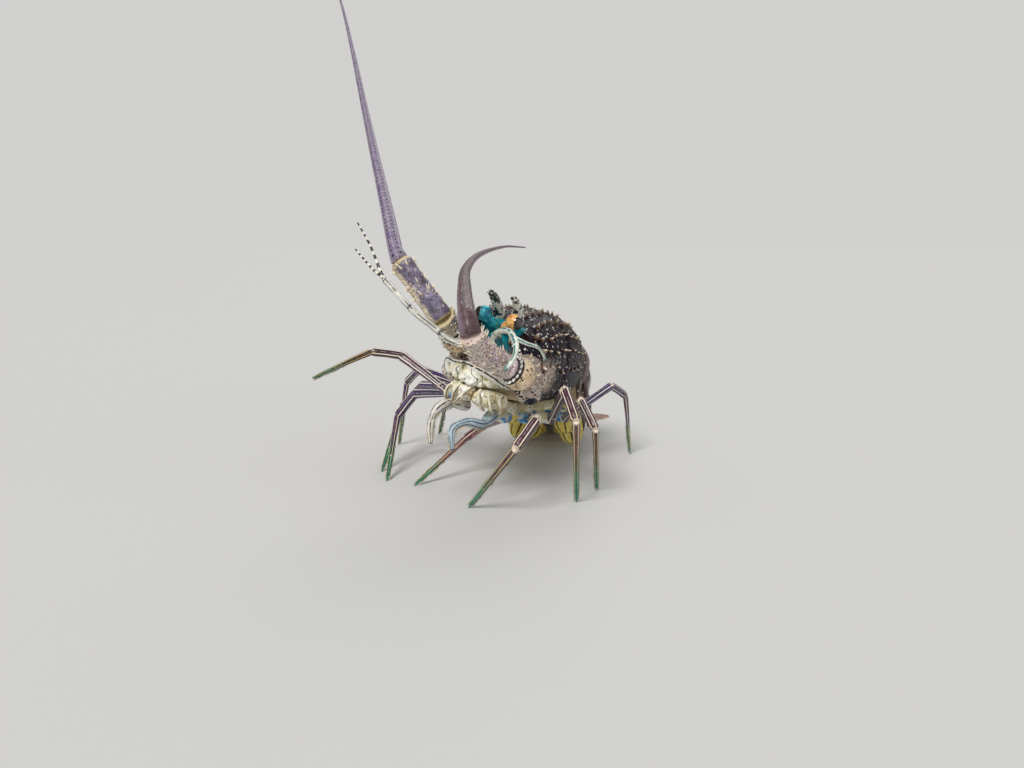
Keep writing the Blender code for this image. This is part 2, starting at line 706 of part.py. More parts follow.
def fan_blade(root, way, name, back, left):
    """A thin ribbed blade of the tail fan that bends down and lies on the floor."""
    sideways, turned, root_half, end_half, length = BLADES[name]
    rows, columns = 10, 7
    turn = math.radians(turned) * way
    along = back * math.cos(turn) + left * math.sin(turn)
    across = left * math.cos(turn) - back * math.sin(turn)
    start = root + left * sideways * way + back * (GAP + root_half * math.sin(math.radians(turned)))
    top, bottom = [], []
    for i in range(rows):
        t = i / (rows - 1)
        half = root_half + (end_half - root_half) * t
        if t > 0.72:
            half *= math.sqrt(max(0.14, 1.0 - ((t - 0.72) / 0.3) ** 2))
        drop = max(0.0, 1.0 - t / 0.5)
        height = (root.z - BLADE_THICK) * drop * drop * (3.0 - 2.0 * drop)
        thick = BLADE_THICK * (1.0 - 0.3 * t)
        top_row, bottom_row = [], []
        for j in range(columns):
            place = start + along * length * t + across * half * (2.0 * j / (columns - 1) - 1.0)
            ridge = BLADE_RIDGE if j % 2 else 0.0
            top_row.append(Vector((place.x, place.y, height + thick - BLADE_RIDGE + ridge)))
            bottom_row.append(Vector((place.x, place.y, height)))
        top.append(top_row)
        bottom.append(bottom_row)
    bm = bmesh.new()
    upper = [[bm.verts.new(p * MM) for p in row] for row in top]
    lower = [[bm.verts.new(p * MM) for p in row] for row in bottom]
    for sheet in (upper, lower):
        for i in range(rows - 1):
            for j in range(columns - 1):
                a, b, c, d = sheet[i][j], sheet[i][j + 1], sheet[i + 1][j + 1], sheet[i + 1][j]
                bm.faces.new((a, b, c))
                bm.faces.new((a, c, d))
    rim = ([(0, j) for j in range(columns)] + [(i, columns - 1) for i in range(1, rows)]
           + [(rows - 1, j) for j in range(columns - 2, -1, -1)] + [(i, 0) for i in range(rows - 2, 0, -1)])
    for (a, b), (c, d) in zip(rim, rim[1:] + rim[:1]):
        bm.faces.new((upper[a][b], upper[c][d], lower[c][d], lower[a][b]))
    return mesh_from(bm)


def antennule(side):
    """A slender stalk on the face that ends in two fine whips."""
    way = mirrored(side)
    stalk, whips = ANTENNULES[side]
    root = [at(forward, left * way, dorsal) for forward, left, dorsal in ANTENNULE_ROOT]
    path = through([*root, *(world(p) for p in stalk)], 10)
    near, far = ANTENNULE_RADII
    mesh = tube([p for t, p in path], [near + (far - near) * t for t, p in path])
    pieces = []
    for (near, far), whip in whips:
        route = through([path[-2][1], world(stalk[-1]), *(world(p) for p in whip)], 10)
        pieces.append(tube([p for t, p in route], [near + (far - near) * t for t, p in route]))
    (forward, dorsal), (ahead, up) = ANTENNULE_PLANE
    slope = FORWARD * ahead + DORSAL * up
    return cut(fuse(mesh, pieces), at(forward, 0.0, dorsal) + slope * GAP, slope)


def maxilliped(side):
    """The leg-like mouthpart that hangs in front of each first leg."""
    root, route = MAXILLIPEDS[side]
    path = through([at(*root), *(world(p) for p in route)], 12)
    near, far = MAXILLIPED_RADII
    return tube([p for t, p in path], [near + (far - near) * t for t, p in path])


def build():
    for thing in list(bpy.data.objects):
        bpy.data.objects.remove(thing)
    random.seed(SEED)
    lobster = bpy.data.collections.new("spiny_lobster")
    bpy.context.scene.collection.children.link(lobster)
    materials = {name: make_material(name) for name in COLOURS}

    def add(name, mesh, material):
        mesh.shade_smooth()
        mesh.materials.clear()
        mesh.materials.append(materials[material])
        new_object(name, mesh, lobster)

    add("carapace", carapace(), "carapace")
    add("face", face(), "face")
    add("sternum", sternum(), "face")
    for side in ("left", "right"):
        add(f"horn_{side}", horn(side), "horn")
        add(f"eye_{side}", eye(side), "eye")
        add(f"mandible_{side}", mandible(side), "face")
        add(f"antennule_{side}", antennule(side), "leg")
        add(f"maxilliped_{side}", maxilliped(side), "leg")
        names = ["stalk_a", "stalk_b", "stalk_c", "whip_a", "whip_b", "whip_c"]
        for name, mesh in zip(names, antenna(side)):
            add(f"antenna_{side}_{name}", mesh, "antenna")
        for number in LEG_LENGTHS:
            upper, lower = leg(side, number)
            add(f"leg_{side}_{number}_upper", upper, "leg")
            add(f"leg_{side}_{number}_lower", lower, "leg")
    stations = abdomen_stations()
    for index in range(len(SOMITES)):
        add(f"somite_{index + 1}", somite(index, stations), "abdomen")
    end = stations[-1]
    back = Vector((end[1].x, end[1].y, 0.0)).normalized()
    level_left = Vector((0.0, 0.0, 1.0)).cross(-back)
    add("telson", fan_blade(end[0], 1.0, "telson", back, level_left), "fan")
    for side in ("left", "right"):
        for name in ("inner", "outer"):
            mesh = fan_blade(end[0], mirrored(side), name, back, level_left)
            add(f"uropod_{side}_{name}", mesh, "fan")


build()
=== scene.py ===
"""The looks of a life-size spiny lobster that stands with its head turned and one leg raised.

Lengths are in millimetres until a mesh is made. The body has its own frame: forward,
left and dorsal, from the middle of the carapace's front edge. The floor is z = 0.
"""
import random
from math import atan2, copysign, cos, degrees, exp, hypot, pi, radians, sin, sqrt
from random import uniform

import bmesh
import bpy
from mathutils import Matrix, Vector

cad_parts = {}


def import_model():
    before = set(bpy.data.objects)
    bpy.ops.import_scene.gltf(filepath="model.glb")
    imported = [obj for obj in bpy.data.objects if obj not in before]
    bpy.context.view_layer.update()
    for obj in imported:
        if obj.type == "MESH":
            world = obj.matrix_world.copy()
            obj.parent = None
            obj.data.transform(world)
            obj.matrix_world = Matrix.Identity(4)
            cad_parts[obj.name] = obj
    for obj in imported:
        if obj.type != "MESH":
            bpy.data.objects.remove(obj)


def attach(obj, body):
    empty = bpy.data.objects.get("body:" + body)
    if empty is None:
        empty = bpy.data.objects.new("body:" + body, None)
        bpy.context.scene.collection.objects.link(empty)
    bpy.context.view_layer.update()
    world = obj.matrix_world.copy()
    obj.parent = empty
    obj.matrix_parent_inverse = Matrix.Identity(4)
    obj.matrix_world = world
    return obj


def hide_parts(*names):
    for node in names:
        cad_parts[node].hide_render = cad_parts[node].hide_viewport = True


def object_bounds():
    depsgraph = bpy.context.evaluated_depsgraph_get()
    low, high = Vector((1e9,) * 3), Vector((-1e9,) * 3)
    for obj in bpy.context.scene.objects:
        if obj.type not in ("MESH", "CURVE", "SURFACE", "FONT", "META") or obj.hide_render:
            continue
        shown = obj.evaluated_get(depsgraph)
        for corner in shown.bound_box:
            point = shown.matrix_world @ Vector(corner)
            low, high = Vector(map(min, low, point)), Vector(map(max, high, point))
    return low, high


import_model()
cad_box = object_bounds()

# How the animal stands, and where the camera stood.
# The body is turned, pitched up and rolled about its own axes; the camera looks along +Y
# and a little down, from just above the height of the head.
MM = 0.001
BODY_YAW, BODY_PITCH, BODY_ROLL = 18.0, 8.0, 14.0
BODY_ORIGIN = (8.0, 10.4, 77.9)
FLOOR_CENTRE = (-17.1, 148.8)
UP = Vector((0.0, 0.0, 1.0))
CAMERA_AT = (34.7, -557.1, 136.1)
CAMERA_DOWN = 10.0


def body_axes():
    """The body's forward, left and dorsal."""
    yaw, pitch, roll = (radians(v) for v in (BODY_YAW, BODY_PITCH, BODY_ROLL))
    ahead = Vector((-sin(yaw), -cos(yaw), 0.0))
    left = Vector((cos(yaw), -sin(yaw), 0.0))
    forward = ahead * cos(pitch) + UP * sin(pitch)
    raised = UP * cos(pitch) - ahead * sin(pitch)
    return (forward,
            left * cos(roll) - raised * sin(roll),
            raised * cos(roll) + left * sin(roll))


FORWARD, LEFT, DORSAL = body_axes()


def unit(way):
    """The same way, one unit long."""
    return way.normalized()


def world(point):
    """A point given over the floor, moved so that the whole model is centred."""
    return Vector(point) - Vector((*FLOOR_CENTRE, 0.0))


def at(forward, left, dorsal):
    """A point given in the body's own frame."""
    return world(BODY_ORIGIN) + FORWARD * forward + LEFT * left + DORSAL * dorsal


def stand(name, data):
    """A new object in the scene."""
    thing = bpy.data.objects.new(name, data)
    bpy.context.scene.collection.objects.link(thing)
    return thing


camera = stand("camera", bpy.data.cameras.new("camera"))
camera.data.sensor_width = 36.0
camera.data.lens = 28.125
camera.data.clip_start = 0.01
camera.location = Vector(CAMERA_AT) * MM
camera.rotation_euler = (radians(90.0 - CAMERA_DOWN), 0.0, 0.0)
bpy.context.scene.camera = camera
bpy.context.scene.view_settings.view_transform = "Standard"

# The studio: a plain pale floor that runs on to the horizon in the tone of the backdrop, a
# broad soft light ahead and above on the left, a weaker one on the right and one behind.
LIGHTS = {
    "key": ((-0.45, -0.85, 1.0), 2.6, 24.0, (1.0, 0.985, 0.96)),
    "fill": ((0.9, -0.7, 0.5), 0.5, 60.0, (0.93, 0.96, 1.0)),
    "back": ((0.25, 1.0, 0.9), 0.8, 50.0, (1.0, 0.99, 0.97)),
}
AIR_GLOW, BACKDROP_GLOW = 0.26, 0.64

for name, (place, power, spread, tint) in LIGHTS.items():
    lamp = bpy.data.lights.new(name, "SUN")
    lamp.energy = power
    lamp.angle = radians(spread)
    lamp.color = tint
    light = stand(name, lamp)
    light.location = place
    light.rotation_euler = Vector(place).to_track_quat("Z", "Y").to_euler()

sky = bpy.data.worlds.new("studio")
sky.use_nodes = True
sky_nodes = sky.node_tree.nodes
seen = sky_nodes.new("ShaderNodeLightPath")
brightness = sky_nodes.new("ShaderNodeMapRange")
brightness.inputs["To Min"].default_value = AIR_GLOW
brightness.inputs["To Max"].default_value = BACKDROP_GLOW
sky_nodes["Background"].inputs["Color"].default_value = (1.0, 0.99, 0.975, 1.0)
sky.node_tree.links.new(seen.outputs["Is Camera Ray"], brightness.inputs["Value"])
sky.node_tree.links.new(brightness.outputs[0], sky_nodes["Background"].inputs["Strength"])
bpy.context.scene.world = sky

floor_mesh = bmesh.new()
bmesh.ops.create_grid(floor_mesh, x_segments=4, y_segments=4, size=30.0)
floor = stand("floor", bpy.data.meshes.new("floor"))
floor_mesh.to_mesh(floor.data)
floor_mesh.free()
floor_paint = bpy.data.materials.new("floor")
floor_paint.use_nodes = True
for key, value in (("Base Color", (0.6, 0.6, 0.595, 1.0)), ("Roughness", 0.9),
                   ("Specular IOR Level", 0.1)):
    floor_paint.node_tree.nodes["Principled BSDF"].inputs[key].default_value = value
floor.data.materials.append(floor_paint)


# Carapace: one arched shell of hard chitin, calcified and covered with small scales,
# crossed by a groove behind the head. It is a skin over rings, and each ring is an arch
# above and a flatter belly below. Rows: forward, half width, height above, depth below.
CARAPACE = [
    (-95.0, 26.0, 22.0, 19.0),
    (-88.0, 28.5, 25.0, 22.0),
    (-70.0, 30.5, 27.5, 24.5),
    (-50.0, 30.5, 28.0, 25.0),
    (-30.0, 29.0, 26.0, 24.5),
    (-12.0, 26.5, 22.0, 22.5),
    (0.0, 24.5, 17.5, 20.0),
]
GROOVE_AT, GROOVE_DEPTH = -47.0, 1.6
SHELL_RINGS = 120


def maths(operation, turned=False):
    """An operator of Signal: it adds a maths node to the tree that the signal is in."""
    def write(*values):
        return values[0].nodes.calc(operation, *(values[::-1] if turned else values))
    return write


class Signal:
    """A number or vector in a node tree, such as a mask, that can be added to and multiplied."""
    __add__ = __radd__ = maths("ADD")
    __mul__ = __rmul__ = maths("MULTIPLY")
    __sub__, __rsub__ = maths("SUBTRACT"), maths("SUBTRACT", True)
    __truediv__, __abs__ = maths("DIVIDE"), maths("ABSOLUTE")

    def __init__(self, nodes, socket):
        self.nodes, self.socket = nodes, socket

    def step(self, low, high):
        """0 below low, 1 above high, smooth between; the other way round if low is above high."""
        return self.nodes.add("ShaderNodeMapRange", {"Value": self, "From Min": low, "From Max": high},
                              interpolation_type="SMOOTHSTEP")

    def ramp(self, *stops):
        """A colour ramp over the signal, from stops of place and colour."""
        ramp = self.nodes.add("ShaderNodeValToRGB", {0: self})
        marks = ramp.socket.node.color_ramp.elements
        while len(marks) < len(stops):
            marks.new(0.5)
        for mark, (place, colour) in zip(marks, stops):
            mark.position, mark.color = place, (*colour, 1.0)
        return ramp


fract, either = maths("FRACT"), maths("MAXIMUM")


def dim(colour, share):
    """The same colour at a share of its brightness."""
    return tuple(share * c for c in colour)


class Nodes:
    """Writes a node tree line by line: each call adds one node and gives its output."""

    def __init__(self, tree):
        self.tree = tree
        self.place = None

    def link(self, value, socket):
        """Links a signal to the socket, or sets a plain value on it."""
        if isinstance(value, Signal):
            self.tree.links.new(value.socket, socket)
        else:
            socket.default_value = value

    def outputs(self, kind, values, **settings):
        node = self.tree.nodes.new(kind)
        for key, value in settings.items():
            setattr(node, key, value)
        for key, value in values.items():
            self.link(value, node.inputs[key])
        return node.outputs

    def add(self, kind, values, output=0, **settings):
        return Signal(self, self.outputs(kind, values, **settings)[output])

    def split(self, kind, values, **settings):
        return [Signal(self, socket) for socket in self.outputs(kind, values, **settings)]

    def given(self):
        """The tree's own inputs, by name."""
        return {socket.name: Signal(self, socket) for socket in self.outputs("NodeGroupInput", {})}

    def calc(self, operation, *values):
        return self.add("ShaderNodeMath", dict(enumerate(values)), operation=operation)

    def map(self):
        """Share of the way round, and part number plus share along, from the piece's UV map."""
        return self.split("ShaderNodeSeparateXYZ", {0: self.add("ShaderNodeTexCoord", {}, "UV")})[:2]

    def noise(self, scale, detail=3.0, rough=0.55):
        return self.add("ShaderNodeTexNoise", {"Vector": self.place, "Scale": scale, "Detail": detail,
                                               "Roughness": rough})

    def cells(self, scale, spread=1.0):
        return self.add("ShaderNodeTexVoronoi", {"Vector": self.place, "Scale": scale,
                                                 "Randomness": spread}, "Distance")

    def dots(self, scale, reach, core):
        """A dot in each cell: 0 beyond its reach and 1 in its core."""
        return self.cells(scale).step(reach, core)

    def away(self, point):
        """How far from a point given in metres."""
        return self.add("ShaderNodeVectorMath", {0: self.place, 1: point}, "Value", operation="DISTANCE")

    def mix(self, share, first, second):
        """The second colour where the share is one, on the first."""
        first, second = ((*v, 1.0) if isinstance(v, tuple) else v for v in (first, second))
        return self.add("ShaderNodeMix", {0: share, 6: first, 7: second}, 2, data_type="RGBA")


class Finish(Nodes):
    """A material while it is written: its nodes, its colour so far, and the shader's constants."""

    def __init__(self, name, coat=(0.0, 0.03), **constants):
        self.material = bpy.data.materials.new(name)
        self.material.use_nodes = True
        super().__init__(self.material.node_tree)
        self.place = self.add("ShaderNodeTexCoord", {}, "Object")
        self.shader = self.tree.nodes["Principled BSDF"]
        self.shader.inputs["Coat Weight"].default_value = coat[0]
        self.shader.inputs["Coat Roughness"].default_value = coat[1]
        for key, value in constants.items():
            self.shader.inputs[key.replace("_", " ")].default_value = value

    def grain(self, clouds, specks):
        """The shell's shared grain at its own scales: clouds, specks and relief."""
        return self.split("ShaderNodeGroup", {0: self.place, 1: clouds, 2: specks}, node_tree=SHELL_GRAIN)

    def over(self, share, colour):
        """Lays a colour over what is there, where the share is one."""
        self.colour = self.mix(share, self.colour, colour)

    def done(self, rough, height, strength, distance):
        """The finished material, with its roughness and its relief."""
        bump = self.add("ShaderNodeBump", {"Height": height, "Strength": strength, "Distance": distance})
        for key, value in (("Base Color", self.colour), ("Roughness", rough), ("Normal", bump)):
            self.link(value, self.shader.inputs[key])
        return self.material


def node_group(name, kind, inputs, outputs):
    """An empty node group with named inputs and outputs: their types, and the inputs' values."""
    tree = bpy.data.node_groups.new(name, kind)
    for in_out, sockets in (("INPUT", inputs), ("OUTPUT", outputs)):
        for title, (kind, *value) in sockets.items():
            socket = tree.interface.new_socket(title, in_out=in_out, socket_type="NodeSocket" + kind)
            if value:
                socket.default_value = value[0]
    return Nodes(tree)


def shell_grain():
    """The grain all the hard shell shares: cloudy colour, fine specks, pits and small scales."""
    inputs = {"Place": ["Vector"], "Cloud Scale": ["Float", 120.0], "Speck Scale": ["Float", 900.0]}
    nodes = node_group("shell_grain", "ShaderNodeTree", inputs,
                       {"Clouds": ["Float"], "Specks": ["Float"], "Height": ["Float"]})
    given = nodes.given()
    nodes.place = given["Place"]
    fine = given["Speck Scale"]
    height = nodes.noise(fine * 1.7, 4.0, 0.65) * 0.45 + nodes.cells(fine * 0.55) * -0.7
    results = {"Clouds": nodes.noise(given["Cloud Scale"], 5.0, 0.6), "Height": height}
    nodes.outputs("NodeGroupOutput", {**results, "Specks": nodes.dots(fine, 0.32, 0.18)})
    return nodes.tree


SHELL_GRAIN = shell_grain()


def square(way, along):
    """The part of a way that is square to a line, one unit long."""
    return unit(way - along * way.dot(along))


def turns(count):
    """Angles in equal steps all the way round."""
    return [2.0 * pi * i / count for i in range(count)]


def between(first, last, steps):
    """Numbers from the first to the last in even steps."""
    return [first + (last - first) * k / steps for k in range(steps + 1)]


class Form:
    """One piece's mesh while it is made, with the UV map that its pattern follows."""

    def __init__(self):
        self.bm = bmesh.new()
        self.uv = self.bm.loops.layers.uv.new("UVMap")
        self.zone = 0

    def corner(self, point):
        return self.bm.verts.new(Vector(point) * MM)

    def face(self, corners, places):
        face = self.bm.faces.new(corners)
        face.smooth = True
        face.material_index = self.zone
        for loop, place in zip(face.loops, places):
            loop[self.uv].uv = place

    def skin(self, rings, part=0.0, shares=None):
        """A closed skin over rings, with domed caps. The map's height is part plus the share along."""
        count = len(rings[0])
        if shares is None:
            shares = between(0.0, 1.0, len(rings) - 1)
        shares = [part + min(max(s, 0.001), 0.999) for s in shares]
        rows = [[self.corner(p) for p in ring] for ring in rings]
        for near, far, s0, s1 in zip(rows, rows[1:], shares, shares[1:]):
            for i in range(count):
                j = (i + 1) % count
                u, v = i / count, (i + 1) / count
                self.face((near[i], near[j], far[j], far[i]), ((u, s0), (v, s0), (v, s1), (u, s1)))
        for ring, row, share in ((rings[0], rows[0], shares[0]), (rings[-1], rows[-1], shares[-1])):
            middle = self.corner(sum((Vector(p) for p in ring), Vector()) / count)
            for i in range(count):
                u, v = i / count, (i + 1) / count
                self.face((row[i], row[(i + 1) % count], middle), ((u, share), (v, share), (u, share)))

    def ball(self, centre, axes, sizes, part=0.0, columns=20, rows=12, power=1.0):
        rings = []
        for turn in between(0.02 * pi, 0.98 * pi, rows):
            flat = sin(turn) ** power
            rings.append([Vector(centre) + Vector(axes[0]) * sizes[0] * -cos(turn)
                          + Vector(axes[1]) * sizes[1] * flat * cos(spin)
                          + Vector(axes[2]) * sizes[2] * flat * sin(spin) for spin in turns(columns)])
        self.skin(rings, part)

    def sweep(self, points, sizes, up=UP, sides=18, part=0.0, section=None):
        """A closed skin of round or oval rings along points; section bends the ring's outline."""
        points = [Vector(p) for p in points]
        travelled = [0.0]
        for before, after in zip(points, points[1:]):
            travelled.append(travelled[-1] + (after - before).length)
        side = None
        rings = []
        for k, (point, size) in enumerate(zip(points, sizes)):
            along = unit(points[min(k + 1, len(points) - 1)] - points[max(k - 1, 0)])
            if side is None:
                side = unit(along.cross(Vector(up)))
            side = square(side, along)
            above = side.cross(along)
            wide, tall = size if isinstance(size, tuple) else (size, size)
            rings.append([point + (side * cos(turn) * wide + above * sin(turn) * tall)
                          * (section(turn) if section else 1.0) for turn in turns(sides)])
        self.skin(rings, part, [t / travelled[-1] for t in travelled])

    def piece(self, name, slot, *materials, replaces=()):
        """The finished piece: it rides on the body, and stands for the solids that it replaces."""
        for corner in self.bm.verts:
            corner.co = [min(max(v, low), high) for low, v, high in zip(cad_box[0], corner.co, cad_box[1])]
        bmesh.ops.recalc_face_normals(self.bm, faces=self.bm.faces)
        mesh = bpy.data.meshes.new(name)
        self.bm.to_mesh(mesh)
        self.bm.free()
        for material in materials:
            mesh.materials.append(material)
        thing = stand(name, mesh)
        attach(thing, "root")
        if replaces:
            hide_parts(*replaces)
        return thing


def smooth_row(rows, x):
    """Values between rows that start with x, along a smooth curve through them."""
    rows = sorted(rows)
    x = min(max(x, rows[0][0]), rows[-1][0])
    k = max(i for i in range(len(rows) - 1) if rows[i][0] <= x)
    x0, x1 = rows[k][0], rows[k + 1][0]
    t = (x - x0) / (x1 - x0)
    before = rows[max(k - 1, 0)]
    after = rows[min(k + 2, len(rows) - 1)]
    result = []
    for c in range(1, len(rows[0])):
        y0, y1 = rows[k][c], rows[k + 1][c]
        m0 = (y1 - before[c]) / (x1 - before[0]) * (x1 - x0)
        m1 = (after[c] - y0) / (after[0] - x0) * (x1 - x0)
        result.append((2 * t**3 - 3 * t**2 + 1) * y0 + (t**3 - 2 * t**2 + t) * m0
                      + (3 * t**2 - 2 * t**3) * y1 + (t**3 - t**2) * m1)
    return result


def arch(turn, above, below):
    """Share across and height of a ring across the body: an arch above, a flatter belly below."""
    across = copysign(abs(sin(turn)) ** 0.9, sin(turn))
    rise = cos(turn)
    return across, above * rise ** 0.9 if rise >= 0.0 else -below * (-rise) ** 0.55


def profile(rows, steps):
    """Sizes in even steps along a smooth curve through rows of share and size."""
    return [smooth_row(rows, t)[0] for t in between(0.0, 1.0, steps)]


def shell_point(forward, turn):
    """A point of the carapace; turn goes from the top of the back round to the left."""
    half_width, above, below = smooth_row(CARAPACE, forward)
    around = sin(turn) ** 2
    groove = exp(-((forward - GROOVE_AT - 7.0 * around + 2.0) / 2.2) ** 2)
    rim = exp(-((forward + 89.5) / 1.3) ** 2)
    dip = GROOVE_DEPTH * groove + 0.8 * rim
    across, height = arch(turn, above - dip, below)
    furrow = 0.5 * exp(-((abs(degrees(turn)) - 9.0) / 2.5) ** 2) if forward < -50.0 else 0.0
    return forward, (half_width - dip) * across, height - furrow


def shell_material():
    """Near-black purple-brown with maroon clouds and pale spots, a teal brow and dotted tan cheeks; the
    dark tone all over and the darker back are painted shade.
    """
    skin = Finish("carapace_shell", coat=(0.03, 0.25), Specular_IOR_Level=0.14)
    around, along = skin.map()
    clouds, specks, relief = skin.grain(70.0, 620.0)
    from_top = 0.5 - abs(around - 0.5)
    # Painted shade: the back's ramp is darker than the flank's, and both ramps are kept near-black to stand
    # for shade.
    back = clouds.ramp((0.3, (0.002, 0.002, 0.006)), (0.46, (0.005, 0.003, 0.009)),
                       (0.58, (0.022, 0.007, 0.011)), (0.74, (0.032, 0.018, 0.04)))
    flank = clouds.ramp((0.32, (0.003, 0.003, 0.009)), (0.55, (0.016, 0.01, 0.02)),
                        (0.72, (0.06, 0.038, 0.06)))
    skin.colour = skin.mix(from_top.step(0.14, 0.24), back, flank)
    pale_spots = skin.dots(190.0, 0.17, 0.11)
    skin.over(pale_spots, (0.76, 0.7, 0.64))
    flecks = skin.dots(330.0, 0.24, 0.16) * along.step(0.5, 0.8)
    skin.over(flecks, (0.84, 0.8, 0.78))
    skin.over(specks * 0.14, (0.34, 0.26, 0.3))
    dots = skin.dots(430.0, 0.36, 0.26)
    reach = clouds * 0.16 + along - 0.08
    cheek = from_top.step(0.2, 0.27) * reach.step(0.66, 0.84)
    tan = clouds.ramp((0.35, (0.34, 0.24, 0.21)), (0.52, (0.62, 0.5, 0.42)), (0.66, (0.78, 0.66, 0.52)))
    skin.over(cheek, skin.mix(dots, tan, (0.012, 0.008, 0.012)))
    belly = from_top.step(0.36, 0.42)
    skin.over(belly, clouds.ramp((0.35, (0.5, 0.38, 0.2)), (0.65, (0.78, 0.7, 0.45))))
    hem = abs(from_top - 0.355).step(0.022, 0.014) * along.step(0.7, 0.78)
    beads = skin.mix(skin.dots(560.0, 0.34, 0.26), (0.015, 0.012, 0.02), (0.8, 0.76, 0.7))
    skin.over(hem, beads)
    teal = clouds.ramp((0.35, (0.0, 0.07, 0.12)), (0.5, (0.0, 0.3, 0.38)), (0.66, (0.1, 0.58, 0.56)))
    brow = from_top.step(0.085, 0.065) * along.step(0.945, 0.965)
    skin.over(brow, teal)
    return skin.done(clouds * 0.3 + 0.34, relief, 0.6, 0.0007)


CARAPACE_SHELL = shell_material()


NAVY_PATCH = (-4.0, 26.0, -19.6)


def cheek_material():
    """Pinkish white crowded with black dots, and one navy patch low on the left."""
    skin = Finish("cheek", coat=(0.2, 0.25))
    clouds, specks, relief = skin.grain(150.0, 700.0)
    tan = clouds.ramp((0.35, (0.56, 0.45, 0.38)), (0.65, (0.88, 0.8, 0.7)))
    large = skin.dots(600.0, 0.42, 0.32)
    skin.colour = skin.mix(large, tan, (0.012, 0.008, 0.012))
    skin.over(specks * 0.5, (0.05, 0.03, 0.03))
    away = clouds * 0.003 + skin.away(at(*NAVY_PATCH) * MM)
    skin.over(away.step(0.0058, 0.0052), (0.004, 0.006, 0.03))
    return skin.done(clouds * 0.3 + 0.26, relief, 0.6, 0.0007)


carapace = Form()
carapace.skin([[at(*shell_point(forward, turn)) for turn in turns(SHELL_RINGS)]
               for forward in between(-95.0, 0.0, SHELL_RINGS)])
carapace.zone = 1
for way in (-1.0, 1.0):
    carapace.ball(at(-7.2, 21.5 * way, -15.0), (FORWARD, LEFT, DORSAL), (7.0, 7.5, 6.0), 0.9, 28, 18)
carapace.piece("carapace_shell", "carapace", CARAPACE_SHELL, cheek_material(), replaces=["carapace"])


# Spines of the carapace: rows of hard forward-leaning thorns that grow from the shell, large
# behind the horns and smaller to the rear, with many short ones between them. One Geometry
# Nodes tree sets every thorn, bristle and hair of the whole animal.
SPINE_ROWS = (13.0, 32.0, 51.0, 70.0, 88.0)
SPINES_IN_ROW = 9
SPINE_LENGTH = 5.6
SPINULES = 620
TIP_MARGIN = 0.0003
FRONT_SPINES, FRONT_SPINE_LENGTH = (44.0, 66.0, 88.0), 8.4
THORN_MARKS = {"way": "FLOAT_VECTOR", "lean": "FLOAT_VECTOR", "size": "FLOAT"}


def thorn_tree():
    """Sets a tapered, slightly hooked thorn on every point, along its way and as long as its size."""
    nodes = node_group("thorns", "GeometryNodeTree",
                       {"Geometry": ["Geometry"], "Width": ["Float", 0.2], "Hook": ["Float", 0.15],
                        "Blunt": ["Float", 0.08], "Sides": ["Int", 7], "Finish": ["Material"]},
                       {"Geometry": ["Geometry"]})
    given = nodes.given()
    cone = nodes.add("GeometryNodeMeshCone", {"Vertices": given["Sides"], "Side Segments": 5,
                                              "Radius Top": given["Width"] * given["Blunt"],
                                              "Radius Bottom": given["Width"], "Depth": 1.0})
    rise = nodes.add("ShaderNodeSeparateXYZ", {0: nodes.add("GeometryNodeInputPosition", {})}, 2)
    shift = nodes.add("ShaderNodeCombineXYZ", {0: rise * rise * given["Hook"]})
    bent = nodes.add("GeometryNodeSetPosition", {"Geometry": cone, "Offset": shift})
    marked = nodes.add("GeometryNodeStoreNamedAttribute", {"Geometry": bent, "Name": "tip",
                                                           "Value": rise},
                       data_type="FLOAT", domain="POINT")
    marks = [nodes.add("GeometryNodeInputNamedAttribute", {"Name": key}, data_type=kind)
             for key, kind in THORN_MARKS.items()]
    turned = nodes.add("FunctionNodeAlignRotationToVector", {"Vector": marks[0]}, axis="Z")
    turned = nodes.add("FunctionNodeAlignRotationToVector", {"Rotation": turned, "Vector": marks[1]},
                       axis="X", pivot_axis="Z")
    set_out = nodes.add("GeometryNodeInstanceOnPoints", {"Points": given["Geometry"], "Instance": marked,
                                                         "Rotation": turned, "Scale": marks[2]})
    real = nodes.add("GeometryNodeRealizeInstances", {"Geometry": set_out})
    painted = nodes.add("GeometryNodeSetMaterial", {"Geometry": real, "Material": given["Finish"]})
    smooth = nodes.add("GeometryNodeSetShadeSmooth", {"Geometry": painted})
    nodes.outputs("NodeGroupOutput", {"Geometry": smooth})
    return nodes.tree


THORNS = thorn_tree()


def within_box(tip):
    """True for a tip that stays inside the solids' box and clear of the floor."""
    return all(low + TIP_MARGIN < v * MM < high - TIP_MARGIN
               for low, v, high in zip(cad_box[0], tip, cad_box[1]))


def thorns(name, rows, material, width, hook, blunt, sides):
    """A piece of thorns from rows of foot, way out, direction of the hook, and length.

    Width and hook are shares of the length, and blunt is the tip's share of the width.
    """
    rows = [row for row in rows if within_box(row[0] + row[1] * row[3])]
    points = bpy.data.meshes.new(name)
    points.from_pydata([row[0] * MM for row in rows], [], [])
    for column, (key, kind) in enumerate(THORN_MARKS.items(), 1):
        for mark, row in zip(points.attributes.new(key, kind, "POINT").data, rows):
            if kind == "FLOAT":
                mark.value = row[column] * MM
            else:
                mark.vector = row[column]
    thing = stand(name, points)
    setter = thing.modifiers.new("thorns", "NODES")
    setter.node_group = THORNS
    values = {"Width": width, "Hook": hook, "Blunt": blunt, "Sides": sides, "Finish": material}
    for socket in THORNS.interface.items_tree:
        if socket.in_out == "INPUT" and socket.name in values:
            setter[socket.identifier] = values[socket.name]
    graph = bpy.context.evaluated_depsgraph_get()
    mesh = bpy.data.meshes.new_from_object(thing.evaluated_get(graph), preserve_all_data_layers=True,
                                           depsgraph=graph)
    thing.modifiers.clear()
    for corner in mesh.vertices:
        corner.co.z = max(corner.co.z, 0.0)
    thing.data = mesh
    bpy.data.meshes.remove(points)
    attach(thing, "root")
    return thing


